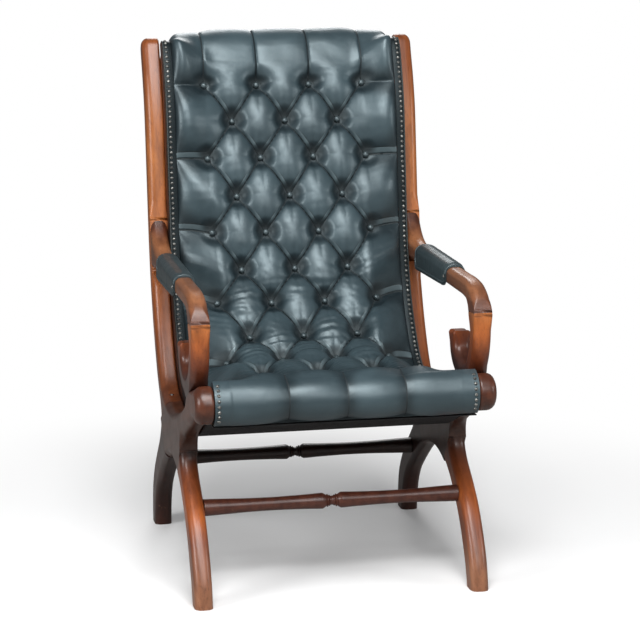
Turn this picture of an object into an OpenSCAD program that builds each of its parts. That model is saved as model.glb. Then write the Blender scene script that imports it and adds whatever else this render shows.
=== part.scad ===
/* [Frame] */
// Distance between the middles of the two side frames
frame_spacing = 542; // [500:1:580]
// Thickness of the side frame boards
board_t = 36; // [30:1:42]
// Height of the tops of the back posts
post_top_z = 1028; // [940:1:1120]
// Distance that the post tops lie behind the middle of the base
post_rake = 352; // [310:1:400]
// Width of the back posts in side view
post_w = 48; // [40:1:54]
// Height of the dip of the side frames, where back and seat meet
waist_z = 316; // [304:1:328]
// Distance from the middle of the base to the middle of the front nose
nose_reach = 309; // [290:1:330]
// Height of the middle of the front nose
nose_z = 400; // [388:1:412]
// Radius of the front nose
nose_r = 36; // [32:1:40]
// Width of the seat rails in side view
seat_rail_w = 50; // [44:1:56]

/* [Legs] */
// Distance from the middle of the base to the outer edge of each foot
foot_reach = 308; // [290:1:340]
// Width of a foot in side view
foot_w = 50; // [42:1:56]
// Height of the hollows where the legs leave the side frames
hollow_z = 262; // [254:1:270]
// Height of the arch between the legs
arch_z = 216; // [204:1:224]
// Height of the two turned stretchers
stretcher_z = 166; // [156:1:172]
// Distance from the middle of the base to each stretcher
stretcher_reach = 186; // [180:1:192]
// Diameter of a stretcher at its ends
stretcher_d = 33; // [28:0.5:35]
// Diameter of a stretcher at its slender stretch
stretcher_slim_d = 26; // [20:0.5:27]
// Diameter of the groove in the middle of a stretcher
stretcher_groove_d = 18; // [14:0.5:20]
// Diameter of the round tenons and of the frame dowels
dowel_d = 12; // [8:0.5:14]
// Length of a frame dowel
dowel_l = 50; // [36:1:60]

/* [Arms] */
// Height of the middle line of the arms
arm_z = 583; // [570:1:596]
// Distance from the middle of the base to the front of the arms
arm_reach = 293; // [280:1:306]
// Width of the arms in side view
arm_w = 36; // [32:1:40]
// Width of the scrolls in side view
scroll_w = 41; // [36:1:44]
// Drop of the middle line of the hooked scrolls
hook_gap = 134; // [128:1:138]
// Reach of the scroll's curl behind its front limb
curl_reach = 142; // [136:1:148]
// Thickness of the padding on an arm
arm_pad_t = 8; // [5:0.5:10]

/* [Upholstery] */
// Thickness of the side boards that carry the upholstery
side_board_t = 18; // [14:0.5:22]
// Width of the side boards in side view
side_board_w = 58; // [54:1:62]
// Width that the side boards lose under the seat
seat_board_slim = 0; // [0:1:18]
// Thickness of the cross rails
cross_rail_t = 22; // [18:1:24]
// Sideways distance between two buttons
button_pitch = 112; // [104:1:116]
// Diameter of a covered button
button_d = 15; // [11:0.5:18]
// Height of a covered button
button_h = 6; // [4:0.5:8]
// Height of the pillows above the button line
pillow_h = 30; // [20:1:34]
// Radius of the padded roll at the front of the seat
roll_r = 45; // [40:1:48]
// Diameter of a nail head
nail_d = 7; // [5:0.5:8]
// Distance between two nails
nail_pitch = 10.5; // [9:0.5:16]
// Thickness of the leather and of the webbing
leather_t = 2; // [1:0.2:3]
// Width of one webbing strap
web_w = 50; // [40:1:56]

/* [Hidden] */

// Clearance between pieces that lie against each other
gap = 0.3;
// Clearance of a dowel or tenon in its bore
fit_gap = 0.1;
// How far a cut runs past the piece that it cuts
overrun = 6;
// Steps between two points of a smooth line
line_steps = 3;
// Steps of a rounded end
end_steps = 12;
// Sides of a round cut or turned piece
round_n = 48;

half_spacing = frame_spacing / 2;
inner_x = half_spacing - board_t / 2;
board_x = inner_x - gap;
cushion_x = board_x - side_board_t - gap;

// A smooth line through points, with the tangent of each point along its neighbours
function blend(a, b, c, d, t) =
    (2 * b + (c - a) * t + (2 * a - 5 * b + 4 * c - d) * t * t
    + (3 * b - 3 * c + d - a) * t * t * t) / 2;
function smooth(p, steps = line_steps) = let (last = len(p) - 1) concat(
    [for (i = [0:last - 1], k = [0:steps - 1])
        blend(p[max(i - 1, 0)], p[i], p[i + 1], p[min(i + 2, last)], k / steps)],
    [p[last]]);
function reversed(p) = [for (i = [len(p) - 1:-1:0]) p[i]];
function part_of(p, from, to) = [for (i = [from:to]) p[i]];
// Direction of a line at its point i, and the line moved sideways to its right
function along(p, i) = let (d = p[min(i + 1, len(p) - 1)] - p[max(i - 1, 0)]) d / norm(d);
function to_right(p, w) = [for (i = [0:len(p) - 1])
    let (d = along(p, i)) p[i] + w * [d[1], -d[0]]];
function band(p, from, to) = concat(to_right(p, from), reversed(to_right(p, to)));
function arc(c, r, a0, a1, steps = end_steps) = [for (k = [0:steps])
    let (a = a0 + (a1 - a0) * k / steps) c + r * [cos(a), sin(a)]];
// A half round end from point a to point b
function round_end(a, b) = let (c = (a + b) / 2, r = norm(b - a) / 2,
    turn = atan2(a[1] - b[1], a[0] - b[0])) arc(c, r, turn, turn - 180);
// Points along a line at equal distances, each as [place, direction]
function lengths(p, i = 0, sum = 0) = i == len(p) - 1 ? [sum]
    : concat([sum], lengths(p, i + 1, sum + norm(p[i + 1] - p[i])));
function spaced(p, pitch, start) = let (l = lengths(p), n = floor((l[len(l) - 1] - start) / pitch))
    [for (k = [0:n]) let (s = start + k * pitch,
        i = max([for (j = [0:len(l) - 2]) l[j] <= s ? j : 0]),
        t = (s - l[i]) / (l[i + 1] - l[i]))
        [p[i] + (p[i + 1] - p[i]) * t, along(p, i)]];

// Outlines in the side view: the first number runs to the back, the second upwards.
// The back posts share their height above the dip and their rake
function back_point(s) = [post_rake * s[0], waist_z + (post_top_z - waist_z) * s[1]];
function seat_point(s) = [-nose_reach * s[0], waist_z + (nose_z - waist_z) * s[1]];
function leg_point(s) = [foot_reach * s[0], hollow_z * s[1]];
function arch_point(s) = [(foot_reach - foot_w) * s[0], arch_z * s[1]];

post_front_shares = [[0.2, 0], [0.36, 0.018], [0.472, 0.073], [0.577, 0.162], [0.648, 0.24],
    [0.713, 0.33], [0.764, 0.45], [0.796, 0.56], [0.83, 0.68], [0.865, 0.79], [0.918, 0.878],
    [0.972, 0.942], [0.998, 0.975]];
// The rear edge runs beside the front edge from this point of the table on
post_parallel_from = 2;
rail_top_shares = [[-0.228, 0], [-0.097, -0.04], [0.065, 0.02], [0.243, 0.18], [0.453, 0.464],
    [0.647, 0.81], [0.793, 1.095]];
rail_parallel_from = 4;
front_leg_shares = [[-0.39, 1], [-0.409, 0.93], [-0.47, 0.85], [-0.552, 0.78], [-0.65, 0.69],
    [-0.74, 0.592], [-0.831, 0.458], [-0.916, 0.298], [-0.97, 0.153], [-1, 0]];
rear_leg_shares = [[0.487, 1], [0.513, 0.93], [0.584, 0.824], [0.682, 0.718], [0.773, 0.622],
    [0.854, 0.527], [0.925, 0.42], [0.977, 0.305], [1, 0.16], [1, 0]];
front_arch_shares = [[-1, 0], [-0.946, 0.167], [-0.868, 0.333], [-0.779, 0.49], [-0.674, 0.63],
    [-0.566, 0.75], [-0.457, 0.847], [-0.31, 0.935], [-0.155, 0.985], [0, 1]];
rear_arch_shares = [[0, 1], [0.174, 0.972], [0.33, 0.903], [0.48, 0.8], [0.62, 0.685],
    [0.748, 0.57], [0.86, 0.454], [0.942, 0.315], [0.985, 0.157], [1, 0]];
// Places of the leg joints along the two halves of the arch, counted in points of the tables
front_joint_i = 7;
rear_joint_i = 2;
// Lead from the rear and front hollows into the edges above them
hollow_lead_share = 0.13;
front_hollow = leg_point(front_leg_shares[0]);
rear_hollow = leg_point(rear_leg_shares[0]);
hollow_lead = hollow_z * hollow_lead_share;

post_points = [for (s = post_front_shares) back_point(s)];
post_front = smooth(post_points);
post_rear = smooth(concat([rear_hollow, rear_hollow + [hollow_lead / 4, hollow_lead * 0.75]],
    part_of(to_right(post_points, post_w), post_parallel_from, len(post_points) - 1)));
function post_outline() = concat(post_front,
    round_end(post_front[len(post_front) - 1], post_rear[len(post_rear) - 1]),
    reversed(post_rear));

nose = [-nose_reach, nose_z];
rail_points = [for (s = rail_top_shares) seat_point(s)];
nose_top = nose + nose_r * [cos(80), sin(80)];
rail_top = smooth(concat(rail_points, [nose_top]));
rail_low = smooth(concat([front_hollow, front_hollow + [-hollow_lead / 4, hollow_lead * 0.75]],
    part_of(to_right(rail_points, -seat_rail_w), rail_parallel_from, len(rail_points) - 1),
    [nose + nose_r * [cos(-85), sin(-85)]]));
front_arch = smooth([for (s = front_arch_shares) arch_point(s)]);
rear_arch = smooth([for (s = rear_arch_shares) arch_point(s)]);
function rail_outline() = concat(rail_top, arc(nose, nose_r, 90, 265), reversed(rail_low),
    part_of(front_arch, front_joint_i * line_steps, len(front_arch) - 1),
    part_of(rear_arch, 1, rear_joint_i * line_steps), [rear_hollow]);
function front_leg_outline() = concat(smooth([for (s = front_leg_shares) leg_point(s)]),
    part_of(front_arch, 0, front_joint_i * line_steps));
function rear_leg_outline() = concat(reversed(smooth([for (s = rear_leg_shares) leg_point(s)])),
    part_of(rear_arch, rear_joint_i * line_steps, len(rear_arch) - 1));

// Each frame joint is the line where its two boards meet
post_joint = [post_front[0], rear_hollow];
front_leg_joint = [front_hollow, front_arch[front_joint_i * line_steps]];
rear_leg_joint = [rear_hollow, rear_arch[rear_joint_i * line_steps]];

// The scroll's middle line runs down from the arm and around its open hook
scroll_top_z = arm_z - arm_w;
arm_mid_y = -arm_reach + scroll_w / 2;
scroll_shares = [[0, 0], [0.02, 0.33], [-0.06, 0.65], [-0.24, 0.9], [-0.5, 1], [-0.78, 0.95],
    [-0.98, 0.77], [-1.03, 0.48]];
bend_shares = [[0.8, 1], [0.55, 1], [0.28, 0.88], [0.08, 0.5], [0, 0]];
scroll_line = smooth([for (s = scroll_shares)
    [arm_mid_y - curl_reach * s[0], scroll_top_z - hook_gap * s[1]]]);
bend_line = smooth([for (s = bend_shares)
    [arm_mid_y + curl_reach * s[0], scroll_top_z + arm_w * s[1]]]);
// The arm widens evenly along its bend, up to the width of the scroll
function widening(p, w0, w1, way) = [for (i = [0:len(p) - 1]) let (
    d = i == len(p) - 1 ? [0, -1] : along(p, i), w = w0 + (w1 - w0) * i / (len(p) - 1))
    p[i] + way * w / 2 * [d[1], -d[0]]];
scroll_joint = [scroll_line[0] - [scroll_w / 2, 0], scroll_line[0] + [scroll_w / 2, 0]];

// The arm flares into the post, and its root is cut to the front of the post
root_top_shares = [0.82, 0.505];
root_low_shares = [0.74, 0.335];
arm_back_y = post_rake / 2;
flare_shares = [0.6, 0.7];
arm_lead = arm_w;
arm_high = smooth([[arm_back_y - arm_lead, arm_z + arm_w / 2], [arm_back_y, arm_z + arm_w / 2],
    [post_rake * flare_shares[0], arm_z + arm_w * 0.66],
    [post_rake * flare_shares[1], arm_z + arm_w * 1.2], back_point(root_top_shares)]);
arm_low = smooth([[arm_back_y - arm_lead, arm_z - arm_w / 2], [arm_back_y, arm_z - arm_w / 2],
    [post_rake * flare_shares[0], arm_z - arm_w * 0.56], back_point(root_low_shares)]);
function arm_outline() = concat(reversed(widening(bend_line, arm_w, scroll_w, 1)),
    arm_high, reversed(arm_low),
    widening(bend_line, arm_w, scroll_w, -1));
// A line across the root of the arm, for its dowels
root_joint = [back_point([0.79, root_top_shares[1]]), back_point([0.725, root_low_shares[1]])];

// The upholstery is a row of lines across the chair. Each row has a place on the button line
// in the middle of the chair and one on the side line beside the frames.
// The rows: four over the top, ten with buttons, four ahead to the roll
side_back_shares = [[1.131, 0.926], [1.086, 0.956], [0.996, 0.976], [0.898, 0.98], [0.801, 0.872],
    [0.75, 0.767], [0.722, 0.659], [0.693, 0.556], [0.665, 0.455], [0.622, 0.354],
    [0.557, 0.258], [0.455, 0.169], [0.301, 0.081]];
side_seat_shares = [[-0.09, 0.214], [0.194, 0.262], [0.469, 0.595], [0.68, 0.952],
    [0.835, 1.202]];
button_back_shares = [[1.131, 0.947], [1.091, 0.975], [1.011, 0.966], [0.949, 0.913],
    [0.898, 0.858], [0.827, 0.757], [0.759, 0.653], [0.676, 0.546], [0.6, 0.444],
    [0.523, 0.341], [0.418, 0.25], [0.253, 0.166], [0.071, 0.114]];
button_seat_shares = [[0.21, 0.881], [0.453, 1], [0.647, 1.214], [0.809, 1.43],
    [0.922, 1.536]];
row_steps = 3;
first_row = 4;
seam_row = 12;
last_row = 13;
front_row = 16;
side_line = smooth(concat([for (s = side_back_shares) back_point(s)],
    [for (s = side_seat_shares) seat_point(s)]), row_steps);
button_line = smooth(concat([for (s = button_back_shares) back_point(s)],
    [for (s = button_seat_shares) seat_point(s)]), row_steps);
// The side boards keep their width along the back and lose some of it under the seat
function board_w(i) = side_board_w - seat_board_slim * ease(i / row_steps - seam_row + 1);
// The line that lies beyond the rear edge of the side boards by some distance
function beyond(far) = [for (i = [0:len(side_line) - 1]) let (d = along(side_line, i))
    side_line[i] - (board_w(i) + far) * [d[1], -d[0]]];
web_line = beyond(-2 * gap - leather_t);
// A piece of the layer between two such lines, from one place to another
function layer(i0, i1, far0, far1) = concat(part_of(beyond(far0), i0, i1),
    reversed(part_of(beyond(far1), i0, i1)));
board_top_i = 3 * row_steps;
board_joint_i = seam_row * row_steps - 1;
board_end_i = front_row * row_steps;
crest_i = [board_top_i + 1, board_top_i + 4];
lumbar_i = [board_joint_i - 3, board_joint_i];

// The padded roll at the front, and the rail inside it
roll_mid = nose + [roll_r / 5, 0];
roll_angles = [for (k = [0:10]) 95 + 14 * k];
roll_core = [roll_r * 0.7, roll_r * 0.58];
roll_core_mid = roll_mid + [-roll_r * 0.1, -roll_r * 0.55];
roll_low_z = roll_core_mid[1] - roll_core[1] / 2 + gap;
roll_back = [roll_mid[0] + roll_r * 0.85, roll_low_z];
roll_front = [roll_mid[0] - roll_r * 0.48, roll_low_z];

// The pillows: creases run along both diagonals of the button pattern, and past the
// outer buttons they run straight on to the edges
crease_share = 0.45;
function rise(u, v) = let (p = abs(sin(180 * (u + 0.5 + v / 2))),
    q = abs(sin(180 * (u + 0.5 - v / 2))))
    (1 - crease_share) * pow(p * q, 0.6) + crease_share * pow(max(p, q), 0.5);
function ease(t) = let (k = min(max(t, 0), 1)) k * k * (3 - 2 * k);
// Above the buttons the pleats grow narrow and shallow, and the shoulders fill up to the crown
pleat_share = 0.3;
shoulder_start = 0.86;
function over_top(u, up) = let (k = ease(up), bay = u > 1.5 ? sqrt(sin(90 * min(up, 1))) : 1)
    1 - (1 - pow(rise(u, 0), 1 - 0.75 * k) * bay) * (1 - (1 - pleat_share) * k);
function pillow(x, i) = let (
    u = abs(x) / button_pitch,
    v = min(i / row_steps - first_row, last_row - first_row),
    level = ease((i / row_steps + 0.5) / 1.5) - 0.75 * ease((i / row_steps - last_row) / 2),
    start = 0.8 + (shoulder_start - 0.8) * ease(-v),
    side = max((abs(x) / cushion_x - start) / (1 - start), 0))
    pillow_h * level * (v < 0 ? over_top(u, -v) : rise(min(u, 1.5), v))
        * sqrt(max(1 - side * side, 0));
function between(p, i) = let (k = min(floor(i), len(p) - 2)) p[k] + (p[k + 1] - p[k]) * (i - k);
function facing(p, i) = let (k = min(floor(i), len(p) - 2), d = along(p, k)) [d[1], -d[0]];
function leather_place(x, i) = let (w = ease((abs(x) / cushion_x - 0.6) / 0.4))
    between(button_line, i) * (1 - w) + between(side_line, i) * w
        + facing(button_line, i) * pillow(x, i);
column_steps = 6;
function row_x(edge) = concat([-edge],
    [for (k = [-2 * column_steps:2 * column_steps]) k / column_steps * button_pitch], [edge]);
nail_h = nail_d * 0.35;
// The part stands with the middle of its overall depth on the origin. The leather behind the
// crest or the posts reach furthest back, and the nails on the front roll furthest ahead
rear_most = max(concat([for (p = post_outline()) p[0]],
    [for (i = [0:2 * row_steps], x = row_x(cushion_x)) leather_place(x, i)[0]]));
front_most = roll_mid[0] - roll_r - gap - nail_h;
base_shift = -(rear_most + front_most) / 2;
function leather_point(x, i) = let (p = leather_place(x, i)) [x, p[0] + base_shift, p[1]];
function row(i, edge, back) = concat([for (x = row_x(edge)) leather_point(x, i)],
    [[edge, back[0] + base_shift, back[1]], [-edge, back[0] + base_shift, back[1]]]);
function roll_row(a, edge, back) = let (dip = 3 * leather_t) concat(
    [for (x = row_x(edge)) let (v = last_row - first_row,
        r = roll_r - (abs(x) < cushion_x ? dip * (1 - rise(min(abs(x) / button_pitch, 1.5), v)) : 0))
        [x, roll_mid[0] + r * cos(a) + base_shift, roll_mid[1] + r * sin(a)]],
    [[edge, back[0] + base_shift, back[1]], [-edge, back[0] + base_shift, back[1]]]);
// Heights of the points of a row above the button line, with none for its two rear points
function row_heights(i, edge) = concat([for (x = row_x(edge)) pillow(x, i)], [0, 0]);
// A closed solid skinned over rows with equally many points, each row a closed ring.
// Each face of four points is split along its lower diagonal, which the creases follow
module skin(rows, heights) {
    n = len(rows[0]);
    m = len(rows);
    sides = [for (r = [0:m - 2], k = [0:n - 1], half = [0, 1]) let (
        j = (k + 1) % n, a = r * n + k, b = r * n + j,
        up = heights[r][k] + heights[r + 1][j] <= heights[r][j] + heights[r + 1][k])
        up ? (half == 0 ? [a, b, b + n] : [a, b + n, a + n])
            : (half == 0 ? [a, b, a + n] : [b, b + n, a + n])];
    first = [for (k = [0:n - 3]) [n - 1, k + 1, k]];
    last = [for (k = [0:n - 3]) [m * n - 1, (m - 1) * n + k, (m - 1) * n + k + 1]];
    polyhedron([for (r = rows, q = r) q], concat(sides, first, last), convexity = 6);
}
// Rear edge of the back cushion where it rolls over the crest rail
over_crest_shares = [[1.111, 0.937], [1.082, 0.943], [1.057, 0.949], [1.036, 0.95]];
function cushion_back(i) = i < board_top_i
    ? between(smooth([for (s = over_crest_shares) back_point(s)], row_steps), i)
    : between(web_line, i);

// Turned stretchers: places as shares of half the length, radii as shares of the end radius
turning_shares = [[0.014, 0.64], [0.022, 0.64], [0.026, 0.6], [0.03, 0.74], [0.04, 0.74],
    [0.044, 0.68], [0.065, 0.9], [0.09, 0.93]];
stretcher_half = inner_x - gap;
function turning() = concat([[0, 0], [stretcher_groove_d / 2, 0],
    [stretcher_groove_d / 2, 0.01 * stretcher_half]],
    [for (s = turning_shares) [s[1] * stretcher_d / 2, s[0] * stretcher_half]],
    [[stretcher_slim_d / 2, 0.4 * stretcher_half], [stretcher_slim_d / 2, 0.62 * stretcher_half],
    [stretcher_d * 0.46, 0.86 * stretcher_half], [stretcher_d / 2, stretcher_half],
    [0, stretcher_half]]);
tenon_d = dowel_d * 1.5;
tenon_l = board_t * 0.55;

// Arm pad section: a cap over the arm with rounded top edges
pad_side_t = arm_pad_t / 2;
pad_hang = arm_w * 0.16;
pad_half = board_t / 2 + gap + pad_side_t;
pad_top = arm_z + arm_w / 2 + gap + arm_pad_t;
pad_low = arm_z - arm_w / 2 - pad_hang;
pad_round = board_t * 0.4;
pad_y = [-0.255 * post_rake, arm_back_y - arm_lead / 2];
function pad_section() = concat(
    arc([pad_half - pad_round, pad_top - pad_round], pad_round, 0, 90, 6),
    arc([pad_round - pad_half, pad_top - pad_round], pad_round, 90, 180, 6),
    [[-pad_half, pad_low], [-board_t / 2 - gap, pad_low],
    [-board_t / 2 - gap, arm_z + arm_w / 2 + gap], [board_t / 2 + gap, arm_z + arm_w / 2 + gap],
    [board_t / 2 + gap, pad_low], [pad_half, pad_low]]);

strap_count = 5;
screw_d = 5;
screw_head_d = 9;
screw_head_h = 4;
screw_l = side_board_t + board_t * 0.25;
// Places of the screws along the side boards and their depth behind the side line
screw_is = [11, 18, 25, 31, 38, 43, 47];
screw_inset = side_board_w * 0.2;

module side(name) {
    if (name == "left") mirror([1, 0, 0]) children();
    else children();
}
// A board with an outline of the side view, from x0 on and t thick
module board(x0, t) {
    translate([x0, base_shift, 0]) rotate([90, 0, 90]) linear_extrude(t) children();
}
// Places its children at a point of the side view, with their z axis square to the line a b
module square_to(p, a, b, x = half_spacing) {
    translate([x, p[0] + base_shift, p[1]]) rotate([atan2(b[1] - a[1], b[0] - a[0]), 0, 0])
        children();
}
// Pegs across the line a b of a joint, or bores for them
module pegs(joint, play = 0, shares = [0.3, 0.7], l = dowel_l) {
    for (s = shares)
        square_to(joint[0] + (joint[1] - joint[0]) * s, joint[0], joint[1])
            cylinder(h = l + 2 * play, d = dowel_d + 2 * play, center = true, $fn = round_n);
}
root_shares = [0.55, 0.85];
limb_shares = [0.62];
limb_peg_l = arm_w * 0.8;
// Pegs from the cross rails into the frame boards, or bores for them
cross_peg_l = board_t;
cross_places = [between(beyond(cross_rail_t / 2), (crest_i[0] + crest_i[1]) / 2),
    between(beyond(cross_rail_t / 2), (lumbar_i[0] + lumbar_i[1]) / 2),
    roll_core_mid];
module cross_pegs(play = 0) {
    for (p = cross_places)
        translate([inner_x - cross_peg_l / 2 - play, p[0] + base_shift, p[1]]) rotate([0, 90, 0])
            cylinder(h = cross_peg_l + 2 * play, d = dowel_d + 2 * play, $fn = round_n);
}
// Screws through the side boards into the frame boards, or bores for them
module screws(play = 0) {
    for (i = screw_is) {
        p = beyond(-screw_inset)[i];
        translate([board_x - side_board_t + leather_t - play, p[0] + base_shift, p[1]])
            rotate([0, 90, 0]) {
            cylinder(h = screw_l + 2 * play, d = screw_d + 2 * play, $fn = round_n);
            cylinder(h = screw_head_h + 2 * play, d = screw_head_d + 2 * play, $fn = round_n);
        }
        if (play > 0)
            translate([board_x - side_board_t - overrun, p[0] + base_shift, p[1]]) rotate([0, 90, 0])
                cylinder(h = overrun + leather_t, d = screw_head_d + 2 * play, $fn = round_n);
    }
}
module back_post(name) {
    color("sienna") side(name) difference() {
        board(inner_x, board_t) polygon(post_outline());
        pegs(post_joint, fit_gap);
        pegs(root_joint, fit_gap, root_shares);
        cross_pegs(fit_gap);
        screws(fit_gap);
    }
}
module seat_rail(name) {
    color("saddlebrown") side(name) difference() {
        board(inner_x, board_t) polygon(rail_outline());
        pegs(post_joint, fit_gap);
        pegs(front_leg_joint, fit_gap);
        pegs(rear_leg_joint, fit_gap);
        pegs(scroll_rest, fit_gap, rest_shares);
        cross_pegs(fit_gap);
        screws(fit_gap);
    }
}
module stretcher_bore(y) {
    translate([inner_x - overrun, y + base_shift, stretcher_z]) rotate([0, 90, 0])
        cylinder(h = overrun + tenon_l + gap, d = tenon_d + 2 * fit_gap, $fn = round_n);
}
module front_leg(name) {
    color("sienna") side(name) difference() {
        board(inner_x, board_t) polygon(front_leg_outline());
        pegs(front_leg_joint, fit_gap);
        stretcher_bore(-stretcher_reach);
    }
}
module rear_leg(name) {
    color("sienna") side(name) difference() {
        board(inner_x, board_t) polygon(rear_leg_outline());
        pegs(rear_leg_joint, fit_gap);
        stretcher_bore(stretcher_reach);
    }
}
module arm(name) {
    color("saddlebrown") side(name) difference() {
        board(inner_x, board_t) difference() {
            polygon(arm_outline());
            translate([-gap, 0]) polygon(post_outline());
        }
        pegs(scroll_joint, fit_gap, limb_shares, limb_peg_l);
        pegs(root_joint, fit_gap, root_shares);
    }
}
// The scroll lies on the rail in a shallow seat, and a peg holds it there
scroll_rest = [rail_points[5], rail_points[6]];
rest_shares = [0.75];
module arm_scroll(name) {
    color("peru") side(name) difference() {
        board(inner_x, board_t) difference() {
            polygon(band(scroll_line, scroll_w / 2, -scroll_w / 2));
            translate([0, gap]) polygon(rail_outline());
        }
        pegs(scroll_joint, fit_gap, limb_shares, limb_peg_l);
        pegs(scroll_rest, fit_gap, rest_shares);
    }
}
module arm_pad(name) {
    color("darkslategray") side(name) translate([half_spacing, pad_y[1] + base_shift, 0])
        rotate([90, 0, 0]) linear_extrude(pad_y[1] - pad_y[0]) polygon(pad_section());
}
module stretcher(y) {
    color("saddlebrown") translate([0, y + base_shift, stretcher_z]) for (turn = [-90, 90])
        rotate([0, turn, 0]) union() {
            rotate_extrude($fn = round_n) polygon(turning());
            cylinder(h = stretcher_half + tenon_l, d = tenon_d, $fn = round_n);
        }
}
function board_outline(i0, i1) = concat(part_of(side_line, i0, i1),
    reversed(part_of(beyond(0), i0, i1)));
module back_side_board(name) {
    color("burlywood") side(name) difference() {
        board(board_x - side_board_t, side_board_t)
            polygon(board_outline(board_top_i, board_joint_i));
        screws(fit_gap);
    }
}
module seat_side_board(name) {
    color("burlywood") side(name) difference() {
        board(board_x - side_board_t, side_board_t)
            polygon(board_outline(board_joint_i, board_end_i));
        screws(fit_gap);
    }
}
module both_sides() {
    children();
    mirror([1, 0, 0]) children();
}
module cross_rail(outline) {
    color("burlywood") difference() {
        board(gap - inner_x, 2 * (inner_x - gap)) polygon(outline);
        both_sides() cross_pegs(fit_gap);
    }
}
module frame_dowels() {
    color("tan") both_sides() {
        pegs(post_joint);
        pegs(root_joint, shares = root_shares);
        pegs(front_leg_joint);
        pegs(rear_leg_joint);
        pegs(scroll_joint, shares = limb_shares, l = limb_peg_l);
        pegs(scroll_rest, shares = rest_shares);
        cross_pegs();
    }
}
module board_screws() {
    color("gray") both_sides() screws();
}
// Straps side by side along a band of the side view
module webbing(path) {
    step = 2 * (cushion_x - web_w / 2) / strap_count;
    color("darkkhaki") for (k = [0:strap_count - 1])
        board((k - (strap_count - 1) / 2) * step - web_w / 2, web_w)
            polygon(path);
}
module back_cushion() {
    is = [for (i = [0:seam_row * row_steps]) i];
    color("darkslategray") skin([for (i = is) row(i, cushion_x, cushion_back(i))],
        [for (i = is) row_heights(i, cushion_x)]);
}
// Share of a step that keeps the seat cushion clear of the back cushion
seam_share = 0.02;
module seat_cushion() {
    from = seam_row * row_steps;
    to = board_end_i;
    is = concat([from + seam_share], [for (i = [from + 1:to]) i]);
    wide = inner_x - gap;
    steps = len(roll_angles);
    color("darkslategray") difference() {
        skin(concat([for (i = is) row(i, cushion_x, between(web_line, i))],
            [row(to + row_steps, wide, roll_back)],
            [for (k = [0:steps - 1]) roll_row(roll_angles[k], wide,
                roll_back + (roll_front - roll_back) * (k + 1) / steps)]),
            [for (i = concat(is, [for (k = [0:steps]) to + row_steps])) row_heights(i, wide)]);
        roll_core_block(gap, overrun);
    }
}
module roll_core_block(play, past) {
    translate([-inner_x + gap - past, roll_core_mid[0] - roll_core[0] / 2 - play + base_shift,
        roll_core_mid[1] - roll_core[1] / 2 - play])
        cube([2 * (inner_x - gap + past), roll_core[0] + 2 * play, roll_core[1] + 2 * play]);
}
module seat_front_rail() {
    color("burlywood") difference() {
        roll_core_block(0, 0);
        both_sides() cross_pegs(fit_gap);
    }
}
// A covered button: a flat seat and a low dome
module button() {
    rotate_extrude($fn = round_n) polygon(concat([[0, 0], [button_d / 2, 0]],
        [for (a = [0:30:90]) [button_d / 2 * cos(a), button_h / 3 + button_h * 2 / 3 * sin(a)]]));
}
// Height of a button above its place, so that its rim lies on the pillows around it
rim_share = 1.05;
function button_rest(x, i) = let (n = facing(button_line, i), out = [0, n[0], n[1]],
    here = leather_point(x, i), step = button_pitch / column_steps)
    gap + max([for (k = [-1:1], r = [-1:1]) if (k != 0 || r != 0)
        let (d = leather_point(x + k * step, i + r) - here, up = d * out)
        rim_share * up * button_d / 2 / norm(d - up * out)]);
module buttons() {
    color("darkslategray") for (r = [first_row:last_row]) {
        wide = (r - first_row) % 2 == 0;
        for (k = wide ? [-1.5:1:1.5] : [-1:1:1]) {
            i = r * row_steps;
            n = facing(button_line, i);
            p = leather_point(k * button_pitch, i) + button_rest(k * button_pitch, i) * [0, n[0], n[1]];
            translate(p) rotate([atan2(-n[0], n[1]), 0, 0]) button();
        }
    }
}
module nail_strip(name) {
    color("darkslategray") side(name) board(board_x - side_board_t, side_board_t)
        polygon(concat(part_of(to_right(side_line, gap), board_top_i, board_end_i),
            reversed(part_of(to_right(side_line, gap + leather_t), board_top_i, board_end_i))));
}
module nail() {
    cylinder(h = nail_h, d1 = nail_d, d2 = nail_d / 2, $fn = round_n / 2);
}
module nails_on(line, x, start) {
    for (q = spaced(line, nail_pitch, start)) {
        n = [q[1][1], -q[1][0]];
        translate([x, q[0][0] + base_shift, q[0][1]]) rotate([atan2(-n[0], n[1]), 0, 0]) nail();
    }
}
module nails(name) {
    color("goldenrod") side(name) nails_on(part_of(to_right(side_line, leather_t + 2 * gap),
        board_top_i, board_end_i), board_x - side_board_t / 2, nail_pitch);
}
module roll_nails() {
    color("goldenrod") both_sides()
        nails_on(arc(roll_mid, roll_r + gap, 115, 215), board_x - side_board_t / 2, nail_pitch / 2);
}
module arm_pad_nails() {
    color("goldenrod") both_sides() for (way = [-1, 1])
        translate([half_spacing + way * (pad_half + gap), pad_y[0] + base_shift + nail_d,
            arm_z - arm_w / 4]) rotate([0, way * 90, 0]) nail();
}
module back_panel() {
    color("darkslategray") board(gap - inner_x, 2 * (inner_x - gap))
        polygon(layer(crest_i[0], lumbar_i[1], cross_rail_t + gap, cross_rail_t + gap + leather_t));
}
// The cloth under the seat follows the side boards and then the underside of the front rail
module dust_cover() {
    path = concat(part_of(beyond(gap), lumbar_i[1] + 1, board_end_i),
        [for (end = [roll_back, roll_front]) end - [0, 4 * gap + leather_t]]);
    color("black") board(gap - inner_x, 2 * (inner_x - gap)) polygon(band(path, 0, -leather_t));
}

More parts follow.
